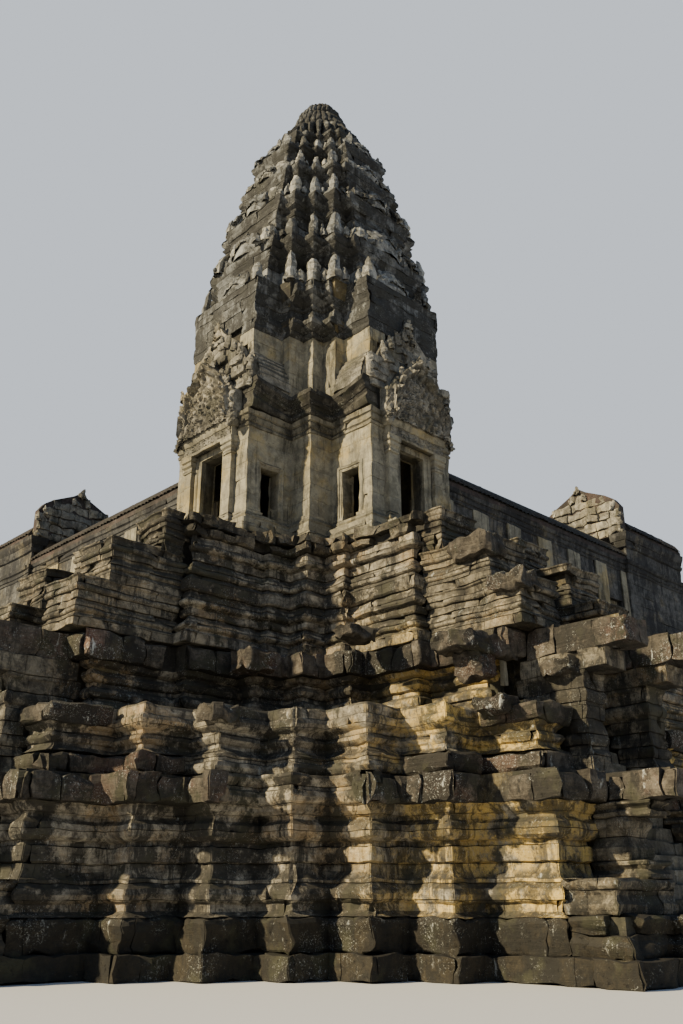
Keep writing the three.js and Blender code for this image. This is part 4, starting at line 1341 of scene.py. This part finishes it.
def make_tower_walls():
    make_floor("tower_plinth", 0.3)
    for way in ("south_west", "south_east", "north_east", "north_west"):
        node = f"{way}_corner_wall"
        walls = lay_wall(node, WALL_TOP, WINDOW_LEVELS, spacing=0.4, skip=in_chamber)
        dress(node, walls, WALL_STONE, "wall_stone", WALL_INSET)
    trim = Stones()
    for turn in TURNS.values():
        trim.turn = turn
        for middle in (-WINDOW_AT, WINDOW_AT):
            frame_moulding(trim, middle, WINDOW_HALF, *WINDOW_LEVELS, ARM_HALF, WINDOW, True)
    for side in ("south", "west"):
        trim.turn = TURNS[side]
        frame_moulding(trim, 0.0, DOOR_HALF, *DOOR_LEVELS, ARM_REACH, DOOR, False)
    trim.piece("door_and_window_frames", WALL_STONE, "wall_stone")
    make_cornice()
    for side in ("south", "west"):
        make_porch(side)
        keep(f"{side}_door_wall", WALL_STONE)


def make_cornice():
    still = lambda spot: np.abs(spot).max() > ARM_REACH
    stones = masonry("main_cornice", raised(CORNICE, WALL_TOP), CORNICE_LOOKS, course=0.3,
                     length=1.2, reference=WALL_TOP + 0.05, still=still)
    dress("main_cornice", stones, CORNICE_STONE, "wall_stone", 0.2, warp=cornice_rise)


PORCH_REACH = 5.1
PORCH_HALF = 1.35
PEDIMENT_REACH = PORCH_REACH + 0.18
PEDIMENT_FOOT = 16.83
BEAM_PANEL = (16.28, 16.6)
PILASTER = [(0.0, 0.09), (0.14, 0.09), (0.16, 0.05), (0.2, 0.08), (0.28, 0.05), (0.36, 0.03),
            (0.42, 0.05), (0.46, 0.0), (2.62, 0.0), (2.64, 0.04), (2.7, 0.06), (2.76, 0.02),
            (2.82, 0.02), (2.88, 0.08), (2.98, 0.1), (3.02, 0.05), (3.06, 0.1), (3.18, 0.12)]


def make_porch(side):
    """Pilasters with capitals, and a carved beam between them."""
    node = f"{side}_porch_frame"
    low, high = BEAM_PANEL
    beam = [(low - 0.1, 0.1), (low - 0.02, 0.12), (low, 0.04), (high, 0.04), (high + 0.02, 0.1),
            (high + 0.12, 0.16), (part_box(node)[1].z, 0.2)]
    stones = masonry(node, raised(PILASTER, FLOOR), WALL_LOOKS, course=0.6, length=1.2,
                     depth=0.2, reference=FLOOR + 1.0)
    masonry(node, beam, WALL_LOOKS, course=1.0, length=1.5, depth=0.2, reference=16.4,
            stones=stones, spacing=0.2)
    dress(node, stones, WALL_STONE, "carved_stone", 0.04)
    carved = Stones()
    carved.turn = TURNS[side]
    across, up = np.meshgrid(np.linspace(-PORCH_HALF, PORCH_HALF, 90), np.linspace(low, high, 12))
    depth = PORCH_REACH + 0.05 + 0.07 * scrolls(across, up - low, 0.36)
    sheet(carved, np.stack([across, -depth, up], -1))
    carved.piece(f"{side}_lintel_carving", CARVED_STONE, "carved_stone")


# Pediments and the roofs of the arms

def make_pediments():
    rng = np.random.default_rng(5)
    for side in TURNS:
        if side in ("south", "west"):
            porch = Stones()
            porch.turn = TURNS[side]
            pediment(porch, "south_porch_pediment", PEDIMENT_REACH, PEDIMENT_FOOT, rng)
            porch.piece(f"{side}_porch_pediment_carving", CARVED_STONE, "carved_stone")
            keep(f"{side}_porch_pediment", CARVED_STONE)
        arm = Stones()
        arm.turn = TURNS[side]
        ruined_gable(arm, "south_arm_roof", ARM_REACH, CORNICE_TOP, rng)
        for way in (-1, 1):
            arm_slope(arm, way)
        arm.piece(f"{side}_arm_roof_carving", CARVED_STONE, "carved_stone")
        keep(f"{side}_arm_roof", CARVED_STONE)


EAVES_HALF = 2.25
UPPER_HALF = 1.8
UPPER_REACH = 4.7


def arm_slope(stones, way):
    """The curved roof beside an upper arm, with level ridges in its stone."""
    part = np.linspace(0, 1, 25)
    out = EAVES_HALF + (UPPER_HALF - EAVES_HALF) * part ** 1.5 + 0.03 * (np.cos(part * 40) > 0.6)
    up = CORNICE_TOP + 0.15 + 1.35 * part ** 0.8
    along = np.linspace(-UPPER_REACH - 0.01, -3.35, 8)
    points = np.zeros((len(part), len(along), 3))
    points[..., 0] = way * (out[:, None] + 0.03)
    points[..., 1] = along if way > 0 else along[::-1]
    points[..., 2] = up[:, None] + 0.02
    sheet(stones, points)


# The bud

CROWN_LOOKS = Looks(edge=0.008, uneven=0.006, chipped=0.25, eaten=0.06, lost=0.002,
                    tone=(-0.6, 0.6), level_joints=0.25, upright_joints=0.1)
DARK_CROWN_LOOKS = Looks(edge=0.012, uneven=0.008, chipped=0.3, eaten=0.07, lost=0.004,
                         tone=(1.3, 2.0), level_joints=0.6, upright_joints=0.15)
SMOOTH_CROWN_LOOKS = Looks(edge=0.004, uneven=0.003, chipped=0.12, eaten=0.03,
                           tone=(-0.3, 0.4), level_joints=0.2, upright_joints=0.08)
BUD_FEET = [CORNICE_TOP, 22.7, 24.8, 27.2, 29.15, 30.6]
BUD_TOPS = BUD_FEET[1:] + [31.9]
BUD_CORNICES = [0.5, 0.45, 0.4, 0.35, 0.3, 0.25]
BUD_WEATHER = {"bumps": 0.02, "pits": 0.012}
EAVES_SHARE = 0.42
SUNK = 0.03


def bud_profile(foot, top, out):
    """A low foot moulding, a plain wall and a many-stepped cornice."""
    rows = [(0.0, 0.1), (0.05, 0.1), (0.07, 0.03), (0.11, 0.05), (0.13, 0.0), (EAVES_SHARE, 0.0),
            (0.44, 0.1), (0.5, 0.16), (0.53, 0.06), (0.58, 0.3), (0.63, 0.46), (0.67, 0.3),
            (0.7, 0.34), (0.74, 0.62), (0.8, 0.86), (0.83, 0.7), (0.88, 0.95), (0.94, 1.0),
            (1.0, 0.88)]
    return [(foot + part * (top - foot), share * out) for part, share in rows]


FIRST_EAVES = 20.5
FIRST_BUD_PROFILE = [
    (18.0, 0.0), (FIRST_EAVES, 0.0), (20.56, 0.08), (20.66, 0.12), (20.72, 0.06), (20.8, 0.2),
    (20.92, 0.32), (21.04, 0.36), (21.16, 0.3), (21.22, 0.12), (21.6, 0.1), (21.66, 0.18),
    (21.76, 0.2), (21.8, 0.12), (21.9, 0.24), (22.04, 0.38), (22.1, 0.3), (22.22, 0.46),
    (22.4, 0.5), (22.56, 0.5), (22.7, 0.45)]
ANTEFIX_WIDTHS = [0.62, 0.58, 0.52, 0.46, 0.4]
ANTEFIX_HEIGHTS = [1.35, 1.25, 1.05, 0.85, 0.75]
ARM_REACHES = [4.7, 3.95, 3.5, 3.0, 2.75, 2.1]
GABLE_WIDTHS = [2.0, 1.8, 1.5, 1.25, 1.05]
GABLE_HEIGHTS = [1.5, 1.5, 1.2, 1.0, 0.85]


def arms_held(number):
    """How far a tier's cornice is held back: most of the way on its arms' fronts."""
    return lambda spot: 0.65 if np.abs(spot).max() > ARM_REACHES[number] - 0.1 else 0.0


def first_tier_held(spot):
    """How far the first tier's cornice is held back: on the arms' fronts and flanks."""
    across, reach = sorted(np.abs(spot))
    if reach > UPPER_REACH:
        return 1.0
    return 0.7 if reach > 3.44 and across > 1.7 else 0.0


def stand_gable(stones, foot, out_way, beside, number, rng):
    """A false gable of leaves that fan out, before the next tier's arm."""
    wide, tall = GABLE_WIDTHS[number], GABLE_HEIGHTS[number]
    foot, out = np.array(foot), np.array([*out_way, 0.0])
    side = np.array([*beside, 0.0])
    leaf(stones, foot, UP, out, wide, tall, 0.3, rng, lean=-0.45, tone=(-0.5, 0.6))
    for step in range(-4, 5):
        turn = math.radians(17 * step)
        spot = foot + side * wide * 0.3 * math.sin(turn) + out * 0.05
        spot[2] += 0.45 * tall * math.cos(turn)
        up = side * math.sin(turn) + np.array([0, 0, math.cos(turn)])
        leaf(stones, spot, up, out, 0.3 * wide ** 0.5, 0.55 * tall * rng.uniform(0.7, 1.0), 0.16,
             rng, lean=-0.25, tone=(-0.8, 0.9))


def stand_antefixes(stones, node, number, top, rng):
    """Leaf-shaped antefixes on a cornice, most with a small leaf on each side."""
    for loop in outlines(node, top + 0.1):
        middle = loop.mean(0)
        out_way = np.where(np.abs(middle) < 0.3, 0.0, np.sign(middle))
        out_way /= np.linalg.norm(out_way)
        beside = np.array([-out_way[1], out_way[0]])
        outermost = np.abs(middle).max() > ARM_REACHES[number] - 0.3 and number > 0
        if np.abs(middle).min() < 0.3:
            foot = (*(middle - 0.2 * out_way), top - SUNK)
            stand_gable(stones, foot, out_way, beside, number, rng)
            continue
        tall = ANTEFIX_HEIGHTS[number] * rng.uniform(0.75, 1.05)
        wide = ANTEFIX_WIDTHS[number] * rng.uniform(0.85, 1.15) * (1.4 if outermost else 1)
        lean = -0.55 if outermost else -0.1
        if outermost:
            middle = middle - 0.25 * out_way
        leaf(stones, (*middle, top - SUNK), UP, (*out_way, 0), wide, tall, 0.24, rng,
             lean=lean, tone=(-1, 0.5))
        for way in (-1, 1):
            if rng.random() < 0.7:
                spot = middle + beside * way * wide * 0.62 - out_way * 0.06
                leaf(stones, (*spot, top - SUNK), UP, (*out_way, 0), wide * 0.55,
                     tall * rng.uniform(0.4, 0.6), 0.16, rng, lean=lean / 2, tone=(-0.8, 1.2))


def stand_fringe(stones, node, number, top, rng, gap=0.52):
    """Small worn antefixes all along a cornice, some left out."""
    held = arms_held(number)
    for loop in outlines(node, top - 0.08):
        for start, end in zip(loop, np.roll(loop, -1, 0)):
            size = np.linalg.norm(end - start)
            along = (end - start) / size
            out = outward(along)
            count = int(size / gap)
            for place in range(count):
                if rng.random() < 0.25:
                    continue
                spot = start + along * size * (place + rng.uniform(0.35, 0.65)) / count
                back = 0.16 + held(spot + out * JUST_OUTSIDE) * BUD_CORNICES[number]
                leaf(stones, (*(spot - out * back), top - 0.04), UP, (*out, 0),
                     rng.uniform(0.26, 0.4), rng.uniform(0.3, 0.8), 0.13, rng, lean=-0.06,
                     tone=(-0.9, 1.6))


def make_bud():
    rng = np.random.default_rng(9)
    for number, (foot, top, out) in enumerate(zip(BUD_FEET, BUD_TOPS, BUD_CORNICES)):
        node = f"tower_tier_{number + 1}"
        first = number == 0
        profile = FIRST_BUD_PROFILE if first else bud_profile(foot, top, out)
        eaves = FIRST_EAVES if first else foot + EAVES_SHARE * (top - foot)
        wall = [row for row in profile if row[0] <= eaves + 0.01]
        stones, walls = Stones(), Stones()
        lay = partial(masonry, node, reference=foot + 0.2,
                      still=first_tier_held if first else arms_held(number))
        lay(wall, SMOOTH_CROWN_LOOKS if first else CROWN_LOOKS, course=0.5, length=1.2,
            spacing=0.32, stones=walls if first else stones)
        lay(profile[len(wall) - 1:], DARK_CROWN_LOOKS, course=0.34, length=1.1, spacing=0.28,
            stones=stones)
        if number < len(ANTEFIX_WIDTHS):
            stand_antefixes(stones, node, number, top, rng)
            stand_fringe(stones, node, number, top, rng)
        if first:
            walls.piece(f"{node}_walls", WALL_STONE, "crown_stone")
        dress(node, stones, CROWN_STONE, "crown_stone", 0.2 if first else 0.44, below=top,
              weather=BUD_WEATHER)
    make_finial()


FINIAL_PETALS = 32
FINIAL = [(31.9, 1.6), (31.98, 1.84), (32.2, 2.04), (32.45, 2.08), (32.7, 1.95), (32.9, 1.76),
          (33.0, 1.5), (33.08, 1.52), (33.2, 1.62), (33.38, 1.58), (33.5, 1.45), (33.7, 1.34),
          (33.9, 1.24), (34.0, 1.04), (34.1, 1.1), (34.25, 1.08), (34.4, 0.98), (34.5, 0.76),
          (34.6, 0.82), (34.72, 0.74), (34.82, 0.52), (34.92, 0.5), (35.02, 0.3), (35.09, 0.02)]


def make_finial():
    """Rings of lotus petals under a worn knob."""
    turn = full_turn(128)
    zs, widths = zip(*FINIAL)
    rows = np.linspace(zs[0], zs[-1], 52)
    radii = np.interp(rows, zs, widths) * np.interp(rows, [zs[0], 33.4, zs[-1]], [1.0, 0.86, 1.0])
    petals = np.abs(np.cos(turn * FINIAL_PETALS / 2))[None, :] ** 0.6
    depth = (0.16 * np.clip((33.1 - rows) / 0.6, 0, 1) + 0.07)[:, None]
    stones = Stones()
    sheet(stones, lathe((0, 0), radii[:, None] * (1 - depth * (1 - petals)), rows, turn),
          tone=1.7, wrap=True)
    stones.piece("lotus_finial_stones", CROWN_STONE, "crown_stone", ["lotus_finial"],
                 weather={"bumps": 0.03, "pits": 0.015})


# Galleries and pavilions, drawn eastward and mirrored northward

GALLERY_SPACING = 0.8
GALLERY_HALF = 2.2
GALLERY_INNER_HALF = 1.63
GALLERY_END = 18.5
GALLERY_TOP = 17.2
BAYS = 6
BAY = (GALLERY_END - ARM_REACH) / BAYS
PAVILION_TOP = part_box("east_gallery_outer_wall")[1].z
WING_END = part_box("east_gallery_outer_wall")[1].x


PAVILION_STAGE = [(GALLERY_TOP, 0.0), (17.9, 0.0), (17.96, 0.08), (18.1, 0.12), (18.14, 0.04),
                  (18.3, 0.1), (18.5, 0.2), (PAVILION_TOP, 0.22)]
STRIP_HALF = 0.13
STRIP_DEPTH = 0.08
STRIP_LEVELS = (FLOOR + 0.48, 16.62)


def in_gallery(spot):
    return np.abs(spot).min() < GALLERY_INNER_HALF


def make_galleries():
    for way, turn in (("east", TURNS["south"]), ("north", TURNS["west"])):
        make_floor(f"{way}_gallery_plinth", GALLERY_SPACING)
        for side, sign in (("outer", -1), ("court", 1)):
            node = f"{way}_gallery_{side}_wall"
            walls = lay_wall(node, GALLERY_TOP, BAY_WINDOW_LEVELS, spacing=GALLERY_SPACING,
                             skip=in_gallery)
            masonry(node, PAVILION_STAGE, HEAD_LOOKS, depth=WALL_DEPTH, reference=18.0,
                    skip=in_gallery, stones=walls, spacing=GALLERY_SPACING)
            dress(node, walls, GALLERY_STONE, "wall_stone", WALL_INSET)
            strips = Stones()
            strips.turn = turn
            gallery_front(strips, sign)
            strips.piece(f"{way}_gallery_{side}_strips", WALL_STONE, "wall_stone")
        make_roofs(way, turn)


def gallery_front(stones, sign):
    """Pilaster strips between the bays, and turned bars in each window."""
    rng = np.random.default_rng(3)
    face = sign * GALLERY_HALF
    for bay in range(BAYS):
        middle = ARM_REACH + (bay + 0.5) * BAY
        near, far = sorted((face, face + sign * STRIP_DEPTH))
        for place in (-0.78, 0.78, 0.14 - BAY / 2, BAY / 2 - 0.14):
            low, high = middle + place - STRIP_HALF, middle + place + STRIP_HALF
            block(stones, (low, near, STRIP_LEVELS[0]), (high, far, STRIP_LEVELS[1]), rng,
                  bevel=0.012, spacing=1.2, rough=0.006)
        for bar in range(5):
            turned_bar(stones, (middle + (bar - 2) * 0.2, face - sign * 0.28),
                       *BAY_WINDOW_LEVELS, 0.075)


def ribbed_roof(stones, start, end, sides, tops, rib=0.28, rise=0.07, rows=31):
    """Rows of carved tiles down both slopes of a vault, between two planes across it."""
    lengths = np.concatenate([[0], np.cumsum(np.hypot(np.diff(sides), np.diff(tops)))])
    even = np.linspace(0, lengths[-1], rows)
    ys, zs = np.interp(even, lengths, sides), np.interp(even, lengths, tops)
    slope_y, slope_z = np.gradient(ys, even), np.gradient(zs, even)
    xs = np.arange(start, end, rib / 4)
    height = rise * np.abs(np.sin(math.pi * (xs - start) / rib)) ** 0.7
    lap = 0.015 * (np.arange(rows) % 3 == 0)
    out = 0.02 + height[:, None] + lap[None, :]
    along = np.repeat(xs[:, None], rows, 1)
    points = np.stack([along, ys - slope_z * out, zs + slope_y * out], -1)
    sheet(stones, points[::-1])


def make_roofs(way, turn):
    rng = np.random.default_rng(8)
    for label, start, end in (("gallery", ARM_REACH, GALLERY_END),
                              ("pavilion", GALLERY_END + 0.4, WING_END)):
        sides, tops = rim_line(f"east_{label}_roof", end, 0)
        stones = Stones()
        stones.turn = turn
        ribbed_roof(stones, start, end, sides, tops)
        stones.piece(f"{way}_{label}_roof_tiles", ROOF_STONE, "roof_stone")
        if label == "pavilion":
            gable = Stones()
            gable.turn = TURNS["south"] if way == "north" else TURNS["west"]
            ruined_gable(gable, "north_pavilion_roof", -GALLERY_END, PAVILION_TOP, rng,
                         course=0.46, longest=1.1)
            gable.piece(f"{way}_pavilion_gable_carving", CARVED_STONE, "roof_stone",
                        weather=ROUGH)
        keep(f"{way}_{label}_roof", ROOF_STONE)


# Camera, floor and light

FOCAL_PIXELS = 964.03
FRAME_HEIGHT = 1024
SENSOR = 36.0
FLOOR_HALF = 400
CAMERA_AT = (-22.667, -25.015, 1.6)
CAMERA_PITCH = 22.09
CAMERA_HEADING = 43.81
SUN_HEIGHT = 30
SUN_TURN = 21


def make_stage():
    data = bpy.data.cameras.new("camera")
    data.sensor_width = SENSOR
    data.sensor_fit = "AUTO"
    data.lens = FOCAL_PIXELS / FRAME_HEIGHT * SENSOR
    data.clip_end = 1000
    camera = in_scene("camera", data)
    camera.location = CAMERA_AT
    camera.rotation_euler = (math.radians(90 + CAMERA_PITCH), 0, math.radians(-CAMERA_HEADING))
    bpy.context.scene.camera = camera

    corners = FLOOR_HALF * np.array([[-1, -1, 0], [1, -1, 0], [1, 1, 0], [-1, 1, 0]], float)
    plain = bpy.data.materials.new("floor")
    n = Nodes(plain)
    n.fill(n.shader, {"Base Color": (0.5, 0.5, 0.5, 1), "Roughness": 0.9})
    floor = mesh_object("floor", corners, np.array([[0, 1, 2, 3]]), plain)
    floor.location.z = -0.01

    world = bpy.context.scene.world = bpy.data.worlds.new("studio")
    n = Nodes(world)
    sky = n.fill(n.tree.nodes["Background"], {"Color": (0.5, 0.69, 1.0, 1), "Strength": 0.52})
    backdrop = n.new("ShaderNodeBackground", {"Color": (0.74, 0.8, 0.88, 1)})
    seen = n.new("ShaderNodeLightPath", {}).outputs["Is Camera Ray"]
    either = n.new("ShaderNodeMixShader", {"Fac": seen, 1: sky.outputs[0], 2: backdrop.outputs[0]})
    n.fill(n.tree.nodes["World Output"], {"Surface": either.outputs[0]})

    key = bpy.data.lights.new("key", "SUN")
    key.energy = 10.0
    key.angle = math.radians(2)
    key.color = (1.0, 0.84, 0.54)
    lamp = in_scene("key", key)
    lamp.rotation_euler = (0, math.radians(SUN_HEIGHT - 90), math.radians(-SUN_TURN))


make_stage()
make_base()
make_steps()
for node in ("stair_south_outer_side_wall", "stair_south_inner_side_wall",
             "stair_west_outer_side_wall", "stair_west_inner_side_wall"):
    make_side_wall(node)
make_loose_stones()
make_tower_walls()
make_pediments()
make_bud()
make_galleries()
